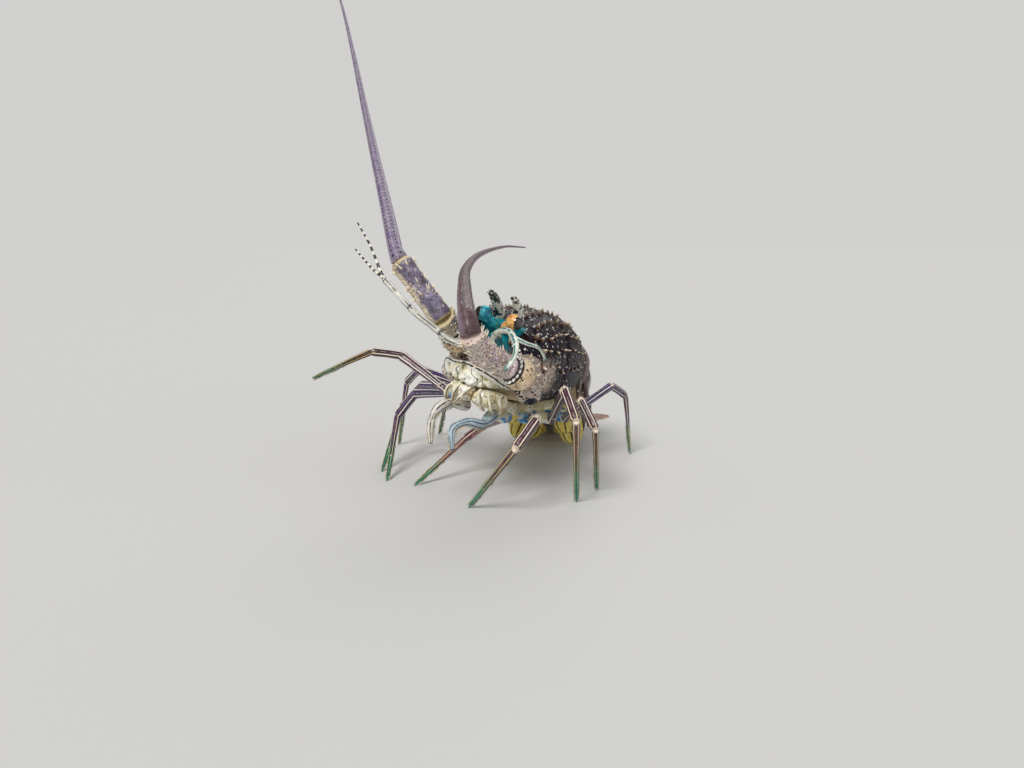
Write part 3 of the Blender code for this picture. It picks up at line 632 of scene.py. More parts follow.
def hair(foot, out, along, lean, shortest, longest):
    """A row for a thorn or hair that leans out from its foot towards along."""
    return foot, unit(out + along * lean), along, uniform(shortest, longest)


def thorn_material(name, root, middle, tip):
    """Thorns dark at the root and light at the tip, with a fine lengthwise grain."""
    skin = Finish(name, coat=(0.3, 0.2))
    share = skin.add("ShaderNodeAttribute", {}, "Fac", attribute_name="tip")
    clouds = skin.noise(500.0)
    skin.colour = (share + clouds * 0.25 + -0.125).ramp((0.12, root), (0.45, middle), (0.85, tip))
    return skin.done(clouds * 0.25 + 0.25, skin.noise(2200.0), 0.3, 0.0003)


def on_shell(forward, angle):
    """A point on the carapace, at an angle from its top in degrees, and the way out there."""
    turn = radians(angle)
    place = at(*shell_point(forward, turn))
    ahead = at(*shell_point(forward + 1.0, turn)) - place
    around = at(*shell_point(forward, turn + 0.05)) - place
    out = unit(around.cross(ahead))
    return (place, out) if out.dot(place - at(forward, 0.0, 0.0)) > 0.0 else (place, -out)


SHELL_THORN = thorn_material("shell_thorn", (0.015, 0.009, 0.014), (0.17, 0.08, 0.05), (0.86, 0.78, 0.6))

random.seed(7)
large_spines = []
for row, angle in enumerate(SPINE_ROWS):
    count = SPINES_IN_ROW - (row % 2)
    for k in range(count):
        forward = -9.0 - (k + 0.5 * (row % 2)) * 78.0 / count + uniform(-1.2, 1.2)
        for way in (-1.0, 1.0):
            turn = (angle + uniform(-2.5, 2.5)) * way
            if row == 0 and k == 0:
                continue
            size = SPINE_LENGTH * (1.0 - 0.5 * k / count) * uniform(0.8, 1.15)
            size *= 1.0 - 0.06 * row
            foot, out = on_shell(forward, turn)
            lean = unit(out * 0.9 + FORWARD * 0.5)
            large_spines.append((foot - lean * 1.2, lean, FORWARD, size + 1.6))
for angle in FRONT_SPINES:
    for way in (-1.0, 1.0):
        foot, out = on_shell(-5.0, angle * way)
        lean = unit(FORWARD * 0.45 + out)
        large_spines.append((foot - lean * 1.6, lean, FORWARD, FRONT_SPINE_LENGTH))
thorns("shell_spines", large_spines, SHELL_THORN, 0.26, 0.22, 0.06, 9)

small_spines = []
for _ in range(SPINULES):
    forward = uniform(-88.0, -2.0)
    foot, out = on_shell(forward, uniform(-118.0, 118.0))
    lean = unit(out * 0.75 + FORWARD * 0.6)
    small_spines.append((foot - lean * 0.4, lean, FORWARD, uniform(1.1, 2.3)))
thorns("shell_spinules", small_spines, SHELL_THORN, 0.24, 0.2, 0.1, 6)


# The front of the head: a shell plate with small spines between the feelers, the folded
# yellow skin under it with its soft bulbs, the pale rim round that, and the two thick jaws.
# Centre of a painted highlight on the front of the first lip bulb.
LIP_BULB = (17.0, -3.0, -15.5)


def face_material():
    """Cream to green-yellow with creases painted dark as painted shade, a painted highlight on the lip
    bulb, fine dark specks and a blue-green top.
    """
    skin = Finish("face_plate", Subsurface_Weight=0.08, Subsurface_Scale=0.002)
    around, along = skin.map()
    clouds, specks, relief = skin.grain(170.0, 800.0)
    cream = clouds.ramp((0.3, (0.46, 0.42, 0.17)), (0.42, (0.84, 0.8, 0.5)), (0.54, (0.95, 0.93, 0.8)),
                        (0.76, (0.88, 0.9, 0.84)))
    lilac = clouds.ramp((0.34, (0.34, 0.24, 0.25)), (0.56, (0.66, 0.55, 0.58)), (0.7, (0.86, 0.8, 0.78)))
    cream = skin.mix(along.step(1.02, 1.0), cream, lilac)
    folds = skin.noise(130.0, 2.0, 0.4)
    # Painted shade: the sunken creases are painted dark brown.
    shaded_crease = abs(folds - 0.5).step(0.026, 0.008)
    small = abs(skin.noise(330.0, 2.0, 0.4) - 0.5).step(0.02, 0.004)
    shaded_crease = either(shaded_crease, small * 0.6)
    # Painted highlight: a near-white spot on the front of the first lip bulb.
    away = skin.away(at(*LIP_BULB) * MM)
    cream = skin.mix(away.step(0.009, 0.003) * 0.8, cream, (0.93, 0.92, 0.86))
    skin.colour = skin.mix(shaded_crease * 0.9, cream, (0.09, 0.06, 0.03))
    skin.over(specks * 0.4, (0.09, 0.06, 0.04))
    top = abs(around - 0.5).step(0.27, 0.36)
    teal = clouds.ramp((0.35, (0.0, 0.075, 0.1)), (0.55, (0.0, 0.26, 0.33)), (0.7, (0.02, 0.42, 0.42)))
    skin.over(top * along.step(1.02, 1.0), teal)
    return skin.done(clouds * 0.3 + 0.3, relief + shaded_crease * -2.0, 0.5, 0.0006)


FACE_PLATE = face_material()


def jaw_material():
    """White and cream with fine creases painted dark as painted shade, and a brown biting edge where the
    jaws meet.
    """
    skin = Finish("jaws", coat=(0.25, 0.2), Subsurface_Weight=0.08, Subsurface_Scale=0.002)
    around, along = skin.map()
    clouds = skin.noise(240.0, 4.0)
    skin.colour = clouds.ramp((0.28, (0.4, 0.27, 0.11)), (0.38, (0.74, 0.62, 0.36)),
                              (0.48, (0.9, 0.84, 0.6)), (0.62, (0.96, 0.94, 0.84)))
    folds = skin.noise(190.0, 2.0, 0.4)
    # Painted shade: the sunken creases are painted dark brown.
    shaded_crease = abs(folds - 0.52).step(0.026, 0.006)
    skin.over(shaded_crease * 0.8, (0.1, 0.06, 0.03))
    seam = abs(clouds * 0.12 + around - 0.8)
    edge = seam.step(0.05, 0.02) * along.step(0.3, 0.6)
    skin.over(edge * 0.7, (0.36, 0.2, 0.07))
    return skin.done(clouds * 0.3 + 0.22, clouds - shaded_crease, 0.4, 0.0006)


RIM_SPOT = 0.43


def rim_material():
    """White with a broken black line along its front, a few dashes and one dark spot."""
    skin = Finish("mouth_rim", coat=(0.2, 0.25))
    around, along = skin.map()
    clouds = skin.noise(600.0)
    drift = skin.noise(150.0, 2.0)
    dash = fract(drift * 1.5 + along * 9.0).step(0.36, 0.44)
    edge = abs(drift * 0.12 + around - 0.7)
    marks = edge.step(0.05, 0.03) * dash
    line = edge.step(0.04, 0.022) * drift.step(0.34, 0.38)
    spot = abs(along - RIM_SPOT).step(0.03, 0.02) * edge.step(0.12, 0.09)
    marks = either(marks, spot)
    skin.colour = clouds.ramp((0.35, (0.8, 0.77, 0.68)), (0.65, (0.95, 0.94, 0.9)))
    skin.over(either(marks, line), (0.012, 0.01, 0.01))
    return skin.done(clouds * 0.3 + 0.25, clouds, 0.3, 0.0005)


def through(points, steps):
    """Points of a smooth curve through the given ones, evenly along it."""
    points = [Vector(p) for p in points]
    rows = []
    travelled = 0.0
    for i, point in enumerate(points):
        if i:
            travelled += (point - points[i - 1]).length
        rows.append((travelled, *point))
    return [Vector(smooth_row(rows, travelled * k / steps)) for k in range(steps + 1)]


FACE_ROWS = [(0.3, 10.0, 12.0, 12.0), (5.0, 10.0, 11.6, 12.5), (11.0, 9.5, 9.5, 12.5),
             (15.0, 7.5, 6.0, 11.0), (18.0, 4.5, 1.5, 7.5)]
FACE_SPINES = [(12.0, 3.2, 7.5), (7.5, 3.6, 8.8), (3.5, 8.0, 8.0)]
MOUTH_MIDDLE = (-4.0, -12.2)
MOUTH_RINGS, RIM_RINGS = 28, 60
MOUTH_ROWS = [(0.3, 17.0, 4.6), (5.0, 16.5, 4.9), (10.0, 13.5, 4.9), (14.0, 9.5, 4.6), (16.5, 5.5, 3.4)]
RIM_PATH = [(2.5, -20.5, -16.0), (2.5, -23.0, -12.0), (4.0, -22.3, -9.0), (7.5, -17.0, -9.0),
            (11.0, -11.5, -8.4), (15.0, -5.0, -7.6), (17.0, 1.5, -8.0), (15.0, 7.0, -9.8),
            (10.0, 10.8, -12.0), (2.5, 13.5, -14.0)]
RIM_SIZES = [(0.0, 1.1), (0.08, 1.4), (0.3, 1.6), (0.5, 1.8), (0.65, 1.9), (0.85, 1.7), (1.0, 1.3)]
LIP_BULBS = [(15.0, -3.0, -15.6, 2.6, 3.4, 2.0), (14.2, -7.6, -14.6, 2.2, 2.8, 2.2),
             (14.0, 1.4, -15.2, 2.2, 2.6, 1.9), (12.4, -11.6, -13.8, 2.0, 2.4, 2.4)]
JAW_DORSAL = -21.9
JAW_ROWS = [(0.7, 14.0, 4.0), (5.0, 15.5, 4.4), (10.0, 14.0, 4.4), (14.0, 10.5, 3.9), (16.5, 7.0, 2.9)]


def soft_box(count):
    """Points round a square with well rounded corners, each side one unit from the middle."""
    return [(turn, *(copysign(abs(v) ** 0.7, v) for v in (sin(turn), cos(turn))))
            for turn in turns(count)]


face = Form()
rings = []
for forward in between(0.3, 18.0, 24):
    half, *heights = smooth_row(FACE_ROWS, forward)
    rings.append([at(forward, half * across, height)
                  for across, height in (arch(turn, *heights) for turn in turns(48))])
face.skin(rings)
left, dorsal = MOUTH_MIDDLE
rings = []
for forward in between(0.3, 16.5, MOUTH_RINGS):
    wide, tall = smooth_row(MOUTH_ROWS, forward)
    ring = []
    for turn, x, y in soft_box(72):
        fold = 1.0 - 0.035 * cos(5.0 * turn) - 0.03 * cos(11.0 * turn + forward * 0.6)
        pleat = 1.25 * cos(wide * x * 1.25 + 0.9 * y + 0.5 * sin(wide * x * 0.4)) * forward / 16.0
        ring.append(at(forward + pleat, left + wide * x * (0.98 + 0.02 * cos(forward)),
                       dorsal + tall * (fold + 0.09 * cos(wide * x * 1.2)) * y))
    rings.append(ring)
face.skin(rings, 2.0)
for bulb in LIP_BULBS:
    face.ball(at(*bulb[:3]), (FORWARD, LEFT, DORSAL), bulb[3:], 2.0, 24, 16)
face.zone = 1
for way in (-1.0, 1.0):
    rings = []
    for forward in between(0.7, 16.5, MOUTH_RINGS):
        wide, tall = smooth_row(JAW_ROWS, forward)
        ring = []
        for turn, x, y in soft_box(56):
            fold = 1.0 - 0.05 * exp(-((y - 0.45) / 0.12) ** 2) - 0.04 * exp(-((x - 0.2) / 0.15) ** 2)
            left = way * (0.4 + wide * 0.5 * (1.0 + x * fold))
            ring.append(at(forward, left, JAW_DORSAL + tall * fold * y))
        rings.append(ring)
    face.skin(rings)
face.piece("face_and_jaws", "face", FACE_PLATE, jaw_material(),
           replaces=["face", "mandible_left", "mandible_right"])

rim = Form()
rim_points = through([at(*p) for p in RIM_PATH], RIM_RINGS)
rim.sweep(rim_points, [(size, 1.25 * size) for size in profile(RIM_SIZES, RIM_RINGS)], DORSAL, 24)
rim.piece("mouth_rim", "face", rim_material())

face_spines = []
for forward, left, dorsal in FACE_SPINES:
    for way in (-1.0, 1.0):
        lean = unit(FORWARD * 3.4 + DORSAL * 3.6)
        face_spines.append((at(forward, left * way, dorsal) - lean * 0.5, lean, DORSAL, 5.6))
thorns("face_spines", face_spines, SHELL_THORN, 0.22, 0.1, 0.08, 9)


# Sternum: the hard shell shield that the legs are hung from, one piece with a furrow for
# each pair of legs, cream and speckled.
STERNUM = [(-6.0, 6.0), (-14.0, 11.0), (-28.0, 14.5), (-42.0, 18.0), (-56.0, 20.5), (-70.0, 22.5),
           (-82.0, 23.0)]


def sternum_material():
    """Cream to yellow with purple-brown specks and dots."""
    skin = Finish("sternum_shell")
    clouds, specks, relief = skin.grain(130.0, 520.0)
    skin.colour = clouds.ramp((0.33, (0.52, 0.4, 0.16)), (0.5, (0.86, 0.78, 0.48)),
                              (0.66, (0.92, 0.89, 0.74)))
    skin.over(specks * 0.65, (0.1, 0.06, 0.05))
    dots = skin.dots(420.0, 0.32, 0.22) * clouds.step(0.42, 0.5)
    skin.over(dots * 0.9, (0.03, 0.02, 0.02))
    return skin.done(clouds * 0.3 + 0.32, relief, 0.5, 0.0006)


sternum = Form()
rings = []
for forward in between(-6.0, -82.0, 76):
    half = smooth_row(STERNUM, forward)[0]
    top = -smooth_row(CARAPACE, forward)[2] - 0.3
    furrow = 0.9 * exp(-((-forward % 14.0 - 7.0) / 1.6) ** 2)
    outline = [(half, 0.0), (half * 0.98, -3.5), (half * 0.9, -6.5 + furrow), (half * 0.68, -7.6 + furrow),
               (half * 0.45, -8.0 + furrow), (half * 0.2, -7.6 + furrow), (0.0, -6.8 + furrow)]
    outline += [(-x, y) for x, y in reversed(outline[:-1])] + [(0.0, 0.0)]
    rings.append([at(forward, x, top + y) for x, y in outline])
sternum.skin(rings)
sternum.piece("sternum_shell", "sternum", sternum_material(), replaces=["sternum"])


# Horns and eyes: a curved horn with pale patches and knobs stands over each eye. The eye is
# a glossy black cornea on a short stalk, in an orange skin on the left and a teal one on the
# right. Horns are shell, moulded with the carapace.
HORN_ANGLE = 10.0
HORN_PATH = [(-1.0, -1.5), (2.0, 4.0), (8.0, 9.0), (15.0, 12.0), (21.0, 12.5)]
HORN_SIZES = [(0.0, 4.2), (0.2, 3.6), (0.5, 2.8), (0.78, 1.8), (1.0, 0.45)]
EYE_PATH = [(0.3, 2.9, 15.3), (4.0, 3.3, 15.9), (7.4, 7.6, 19.0)]
EYE_AT = (8.0, 8.8, 20.0)
EYE_BALL, CORNEA_BALL = 4.15, 3.7
SIDES = {"left": 1.0, "right": -1.0}
HORN_RINGS, EYE_RINGS = 32, 14


def banded_material(name, bands, pale, dark, share=0.5, rough=0.25):
    """Cross bands of two colours, uneven in width and wavy at their edges."""
    skin = Finish(name, coat=(0.4, 0.15))
    along = skin.map()[1]
    clouds = skin.noise(420.0)
    wave = clouds * 0.55 + along * bands
    band = abs(fract(wave) - 0.5)
    mask = band.step(share * 0.5 - 0.03, share * 0.5 + 0.03)
    light = clouds.ramp((0.3, dim(pale, 0.75)), (0.7, pale))
    skin.colour = skin.mix(mask, light, dark)
    return skin.done(clouds * 0.3 + rough - 0.1, skin.noise(1800.0), 0.3, 0.0004)


def patched_material(name, pale, dark):
    """Ragged pale patches on a dark ground, as on the horns."""
    skin = Finish(name, coat=(0.3, 0.15))
    clouds = skin.noise(210.0, 2.0, 0.5)
    fine = skin.noise(900.0)
    mask = (fine * 0.14 + clouds).step(0.545, 0.56)
    skin.colour = skin.mix(mask, dark, fine.ramp((0.35, dim(pale, 0.7)), (0.6, pale)))
    return skin.done(fine * 0.3 + 0.2, fine + mask, 0.4, 0.0004)


HORN_PATCHES = patched_material("horn_patches", (0.9, 0.88, 0.8), (0.016, 0.012, 0.02))
HORN_THORN = thorn_material("horn_thorn", (0.3, 0.28, 0.26), (0.8, 0.78, 0.72), (0.95, 0.94, 0.9))


def eye_skin(name, dark, middle, light):
    """The skin of the stalk that also covers the inner half of the eye."""
    skin = Finish(name, coat=(0.3, 0.2))
    clouds = skin.noise(350.0)
    skin.colour = clouds.ramp((0.34, dark), (0.5, middle), (0.66, light))
    return skin.done(clouds * 0.2 + 0.3, skin.noise(1500.0), 0.3, 0.0004)


def cornea_material():
    """Glossy black with a fine grid of facets."""
    skin = Finish("cornea", coat=(1.0, 0.03), Specular_IOR_Level=0.7)
    facets = skin.cells(2600.0, 0.1)
    skin.colour = facets.ramp((0.1, (0.008, 0.007, 0.01)), (0.6, (0.028, 0.018, 0.016)))
    return skin.done(facets * 0.1 + 0.08, facets, 0.15, 0.0002)


EYE_SKIN = {
    "left": eye_skin("eye_skin_orange", (0.32, 0.1, 0.02), (0.74, 0.34, 0.07), (0.84, 0.62, 0.26)),
    "right": eye_skin("eye_skin_teal", (0.0, 0.08, 0.16), (0.0, 0.3, 0.4), (0.14, 0.62, 0.58)),
}
CORNEA = cornea_material()

for side, way in SIDES.items():
    foot, out = on_shell(-7.0, HORN_ANGLE * way)
    horn_points = through([foot + FORWARD * ahead + out * rise for ahead, rise in HORN_PATH], HORN_RINGS)
    sizes = profile(HORN_SIZES, HORN_RINGS)
    horn = Form()
    horn.sweep(horn_points, [(size * 0.85, size) for size in sizes], DORSAL, 24)
    horn.piece("horn_" + side + "_patched", "horn", HORN_PATCHES, replaces=["horn_" + side])
    knobs = []
    for k in range(3, 30):
        along = unit(horn_points[k + 1] - horn_points[k])
        across = unit(along.cross(LEFT))
        turn = k * 2.4
        lean = unit(across * cos(turn) + across.cross(along) * sin(turn) + along * 0.7)
        knobs.append((horn_points[k] + lean * sizes[k] * 0.55, lean, along, sizes[k] * 0.45 + 1.1))
    thorns("horn_" + side + "_knobs", knobs, HORN_THORN, 0.3, 0.1, 0.12, 8)

    eye = Form()
    eye_points = through([at(a, b * way, c) for a, b, c in EYE_PATH], EYE_RINGS)
    eye.sweep(eye_points, [2.4 + 0.9 * t ** 2 for t in between(0.0, 1.0, EYE_RINGS)], DORSAL, 24)
    forward, left, dorsal = EYE_AT
    middle = at(forward, left * way, dorsal)
    axes = (LEFT * way, FORWARD, DORSAL)
    eye.ball(middle - axes[0] * 0.4, axes, [EYE_BALL] * 3, 0.0, 32, 24)
    eye.zone = 1
    eye.ball(middle + axes[0] * 0.95 + FORWARD * 0.25, axes, [CORNEA_BALL] * 3, 1.0, 32, 24)
    eye.piece("eye_" + side + "_round", "eye", EYE_SKIN[side], CORNEA, replaces=["eye_" + side])


# Antennae: three thick spiny stalk segments of shell that bend like an elbow, then a long
# whip of hundreds of short rings. The left one reaches forward and its whip turns back over
# the body; the right one points up and out. Soft skin joins the segments.
STALK_BASE = {"right": (0.3, 18.5, 2.4), "left": (0.3, 19.5, -2.5)}
STALK_KNEE = {"right": (11.0, 18.8, 4.0), "left": (29.0, 24.6, -2.6)}
STALK_NECK, STALK_KNOB = 8.9, 8.2
STALK_SPINES = ((0.86, 8), (0.58, 6), (0.4, 6))
STALK_GRAINS, KNOB_BEADS = 70, 16
STALK_RADII = (8.6, 7.6, 6.6, 6.3, 5.4)
STALK_POINTS = {"right": [(-18, -4, 99), (-39, 1, 127)], "left": [(3.0, -38.5, 86.0), (-1, -47, 95)]}
STALK_PROFILE = [(0.0, 0.84), (0.05, 0.97), (0.3, 0.96), (0.75, 1.0), (0.9, 1.07), (0.96, 1.08),
                 (0.985, 1.0), (1.0, 0.86)]
WHIP_POINTS = {
    "right": [(-42, 7, 132), (-54, 53, 160), (-68, 104, 193), (-83, 157, 231), (-99, 210, 275),
              (-115, 258, 318), (-129, 290, 352)],
    "left": [(-3, -43, 103), (-7, 8, 111), (-11, 96, 120), (-6, 199, 128), (12, 302, 133),
             (30, 350, 132)],
}
WHIP_RADII = {"right": (3.8, 0.55), "left": (4.3, 0.6)}
WHIP_RINGS = WHIP_SPINULES = 420


def stalk_material(name, above, below, dots, collar, first, eyes, grit):
    """One colour above, one below and one at the root, with specks, rings and pale ends."""
    skin = Finish(name, coat=(0.2, 0.25))
    around, along = skin.map()
    clouds, specks, relief = skin.grain(150.0, 700.0)
    top = clouds.ramp((0.32, dim(above, 0.35)), (0.5, above),
                      (0.7, tuple(min(1.0, 1.6 * c + 0.05) for c in above)))
    bottom = clouds.ramp((0.35, dim(below, 0.6)), (0.6, below))
    wave = clouds * 0.3 + around
    upper = abs(wave - 0.15 - 0.25)
    skin.colour = skin.mix(upper.step(0.34, 0.27), bottom, top)
    root = clouds.ramp((0.35, dim(first, 0.6)), (0.6, first))
    skin.over(along.step(0.98, 0.94), root)
    freckles = skin.dots(520.0, 0.3, 0.2)
    skin.over(freckles * clouds.step(0.42, 0.5), dots)
    ring = skin.cells(210.0)
    eyelet = ring.step(0.12, 0.17) * ring.step(0.3, 0.24)
    skin.over(eyelet * eyes, dots)
    grains = skin.noise(1100.0, 2.0).step(0.54, 0.6)
    skin.over(grains * grit, dots)
    flecks = specks * clouds.step(0.52, 0.62)
    skin.over(flecks * 0.7, (0.76, 0.7, 0.62))
    share = fract(along)
    end = either(share.step(0.94, 0.965), share.step(0.03, 0.015))
    edge = skin.mix(skin.dots(620.0, 0.25, 0.2), collar, dots)
    skin.over(end, edge)
    return skin.done(clouds * 0.3 + 0.3, relief, 0.8, 0.0008)


def knob_material():
    """Tan with small black dots, painted shade near-black over its far side and round the cap where the
    next segment leaves it, white beads round that cap.
    """
    skin = Finish("stalk_knob", coat=(0.15, 0.25))
    along = skin.map()[1]
    clouds = skin.noise(220.0, 4.0)
    skin.colour = clouds.ramp((0.34, (0.5, 0.33, 0.19)), (0.52, (0.76, 0.57, 0.36)),
                              (0.68, (0.88, 0.74, 0.52)))
    dots = skin.dots(560.0, 0.34, 0.26)
    grit = skin.dots(1300.0, 0.3, 0.2) * 0.6
    skin.over(either(dots, grit), (0.03, 0.015, 0.012))
    # Painted shade: near-black over the far side of the knob and over the cap under the next segment.
    shade = either(along.step(0.635, 0.655), along.step(0.22, 0.18))
    skin.over(shade, (0.012, 0.008, 0.01))
    skin.over(along.step(1.5, 1.6), (0.92, 0.9, 0.84))
    return skin.done(clouds * 0.3 + 0.3, skin.noise(1500.0), 0.5, 0.0005)


STALK_KNOB_SKIN = knob_material()


def whip_material(name, back, side_highlight, dots, band, dust):
    """Short rings all along, a band of the ground colour down the front with a painted highlight in a
    lighter colour along the sides, and rows of dark dots with light ones between.
    """
    skin = Finish(name, coat=(0.15, 0.3))
    around, along = skin.map()
    clouds = skin.noise(260.0, 4.0)
    # Painted highlight: away from the front band, the whip's sides take a lighter colour.
    facing = abs(around - band)
    facing = clouds * 0.08 + facing
    low = skin.mix(facing.step(0.15, 0.23), back, side_highlight)
    skin.colour = skin.mix(clouds.step(0.3, 0.75) * dust, low, (0.3, 0.25, 0.3))
    across = fract(around * 6.0) - 0.5
    down = fract(along * 95.0) - 0.5
    spot = across * across * 2.0 + down * down
    skin.over(spot.step(0.07, 0.03) * dust, dots)
    light = abs(across).step(0.44, 0.48) * abs(down).step(0.2, 0.3)
    skin.over(light * (0.7 * dust), (0.78, 0.72, 0.74))
    ring = fract(along * 380.0)
    groove = abs(ring - 0.5).step(0.32, 0.48)
    return skin.done(clouds * 0.3 + 0.35, clouds * 0.3 - groove, 0.6, 0.0004)


STALKS = {
    "right": stalk_material("stalk_violet", (0.17, 0.145, 0.23), (0.7, 0.6, 0.44), (0.07, 0.03, 0.02),
                            (0.56, 0.46, 0.26), (0.42, 0.34, 0.27), 0.7, 0.35),
    "left": stalk_material("stalk_pink", (0.52, 0.4, 0.43), (0.78, 0.68, 0.62), (0.1, 0.04, 0.04),
                           (0.62, 0.48, 0.42), (0.46, 0.36, 0.3), 0.0, 0.75),
}
# Each whip's second colour is a painted highlight along its sides.
WHIPS = {
    "right": whip_material("whip_lavender", (0.15, 0.115, 0.24), (0.34, 0.27, 0.38), (0.025, 0.012, 0.04),
                           0.3, 1.0),
    "left": whip_material("whip_maroon", (0.065, 0.022, 0.022), (0.21, 0.135, 0.18), (0.06, 0.022, 0.022),
                          0.25, 0.22),
}
STALK_THORN = thorn_material("stalk_thorn", (0.36, 0.25, 0.16), (0.8, 0.68, 0.46), (0.94, 0.91, 0.8))
WHIP_THORN = thorn_material("whip_thorn", (0.25, 0.16, 0.22), (0.55, 0.45, 0.45), (0.85, 0.8, 0.74))


def spoke(along, turn):
    """A way out from a line, turned about it from level."""
    across = unit(along.cross(UP))
    return across * cos(turn) + across.cross(along) * sin(turn)


def ridged(turn):
    """The outline of a stalk: almost round, with three blunt lengthwise ridges."""
    return 1.0 + 0.035 * cos(3.0 * turn) + 0.012 * cos(11.0 * turn)


for side, way in SIDES.items():
    base, knee = (at(forward, left * way, dorsal)
                  for forward, left, dorsal in (STALK_BASE[side], STALK_KNEE[side]))
    elbow, tip = (world(p) for p in STALK_POINTS[side])
    bend = unit(elbow - knee)
    ends = [base, knee, knee + bend * STALK_NECK, elbow, tip]
    whip_points = through([world(p) for p in WHIP_POINTS[side]], WHIP_RINGS)
    stalk = Form()
    stalk_spines = []
    for part, k in enumerate((0, 2, 3)):
        start, end = ends[k], ends[k + 1]
        along = unit(end - start)
        lead = 1.2 if part else 0.0
        thick, thin = STALK_RADII[k:k + 2]
        points, sizes = [], []
        for t in between(0.0, 1.0, 30):
            points.append(start - along * lead * (1.0 - t) + (end - start) * t)
            waist = 1.0 - 0.22 * max(0.0, 1.0 - t / 0.5) ** 1.5 if part == 1 else 1.0
            sizes.append((thick * (1.0 - t) + thin * t) * waist * smooth_row(STALK_PROFILE, t)[0])
        stalk.sweep(points, sizes, UP, 40, float(part), ridged)
        for ring, (t, count) in enumerate(STALK_SPINES):
            for i in range(count):
                turn = 2.0 * pi * (i + 0.5 * ring) / count + uniform(-0.15, 0.15)
                out = spoke(along, turn)
                radius = thick * (1.0 - t) + thin * t
                lean = unit(out + along * 0.65)
                size = (4.6 if ring == 0 else 4.0) * uniform(0.8, 1.1)
                stalk_spines.append((start.lerp(end, t) + out * (radius - 1.0), lean, along, size))
        for _ in range(STALK_GRAINS):
            t = uniform(0.08, 0.97)
            out = spoke(along, uniform(0.0, 2.0 * pi))
            radius = (thick * (1.0 - t) + thin * t) * smooth_row(STALK_PROFILE, t)[0]
            stalk_spines.append(hair(start.lerp(end, t) + out * (radius - 0.3), out, along, 0.8, 1.1, 2.4))
    across = unit(bend.cross(UP))
    above = across.cross(bend)
    stalk.zone = 1
    stalk.ball(knee, (bend, across, above), [STALK_KNOB] * 3, 0.0, 48, 36)
    for turn in turns(KNOB_BEADS):
        out = spoke(bend, turn) * 0.8 + bend * 0.6
        stalk.ball(knee + out * (STALK_KNOB - 0.1), (out, across, above), [1.15] * 3, 2.0, 10, 8)
    stalk.zone = 0
    stalk.sweep([knee, ends[2]], [5.5, 5.5], UP, 32, 0.9)
    stalk.piece(f"antenna_{side}_stalk", "antenna_stalk", STALKS[side], STALK_KNOB_SKIN,
                replaces=[f"antenna_{side}_stalk_{letter}" for letter in "abc"])
    thorns(f"antenna_{side}_stalk_spines", stalk_spines, STALK_THORN, 0.24, 0.18, 0.08, 8)

    whip = Form()
    thick, thin = WHIP_RADII[side]
    sizes = [size * (1.0 + 0.018 * (k % 2)) for k, size in enumerate(between(thick, thin, WHIP_RINGS))]
    whip.sweep([tip, tip.lerp(whip_points[0], 0.5), *whip_points],
               [thick + 0.8, thick + 0.5, *sizes], UP, 22)
    whip.piece(f"antenna_{side}_whip", "antenna_whip", WHIPS[side],
               replaces=[f"antenna_{side}_whip_{letter}" for letter in "abc"])
    hairs = []
    for _ in range(WHIP_SPINULES):
        share = random.random() ** 1.4
        k = int(share * 400)
        along = unit(whip_points[k + 1] - whip_points[k])
        out = spoke(along, uniform(0.0, 2.0 * pi))
        lean = unit(out + along * 1.3)
        hairs.append((whip_points[k] + out * sizes[k] * 0.9, lean, along,
                      uniform(0.8, 1.9) * (1.0 - 0.5 * share)))
    thorns(f"antenna_{side}_whip_spinules", hairs, WHIP_THORN, 0.2, 0.2, 0.1, 5)


# Antennules: slender stalks of three thin-shelled segments, each ending in two fine ringed
# whips. The right one is stretched up and out; the left one curls over the left feeler.
ANTENNULE_ROOT = [(15.0, 3.2, 1.0), (18.8, 3.8, 5.4)]
ANTENNULE_RADII = (2.0, 1.5)
ANTENNULE_STEPS, ANTENNULE_SEGMENTS = 60, ((0, 26), (26, 44), (44, 60))
ANTENNULE_WHIP_RINGS = 70
ANTENNULES = {
    "right": ([(-12, -13, 88), (-22, -15, 96), (-30, -18, 103), (-44, -20, 119)],
              [((0.9, 0.4), [(-50, -18, 124), (-59, -11, 133)]),
               ((0.9, 0.4), [(-52, -10, 135), (-60, 2, 146)])]),
    "left": ([(10, -12, 92), (16, -22, 94), (18, -28, 92)],
             [((1.7, 1.0), [(19.5, -35, 88.5), (18.5, -40, 83.5), (14.5, -44, 78.5)]),
              ((1.2, 0.6), [(24, -29, 89), (30.5, -24, 86), (34, -21, 80)])]),
}


def antennule_material(name, pale, dark, base, reach, lines=3.0):
    """Pale with uneven dark lines lengthwise, and another colour over the root."""
    skin = Finish(name, coat=(0.25, 0.2))
    around, along = skin.map()
    clouds = skin.noise(300.0)
    light = clouds.ramp((0.3, dim(pale, 0.62)), (0.65, pale))
    line = abs(fract(around * lines + clouds * 0.4) - 0.5)
    marks = line.step(0.16, 0.09) * skin.noise(180.0).step(0.38, 0.46)
    skin.colour = skin.mix(marks, light, dark)
    joint = along.step(reach, reach * 0.6)
    skin.over(joint, clouds.ramp((0.35, dim(base, 0.35)), (0.6, base)))
    share = fract(along)
    skin.over(share.step(0.95, 0.97) * 0.8, dark)
    return skin.done(clouds * 0.3 + 0.25, skin.noise(1600.0), 0.3, 0.0004)


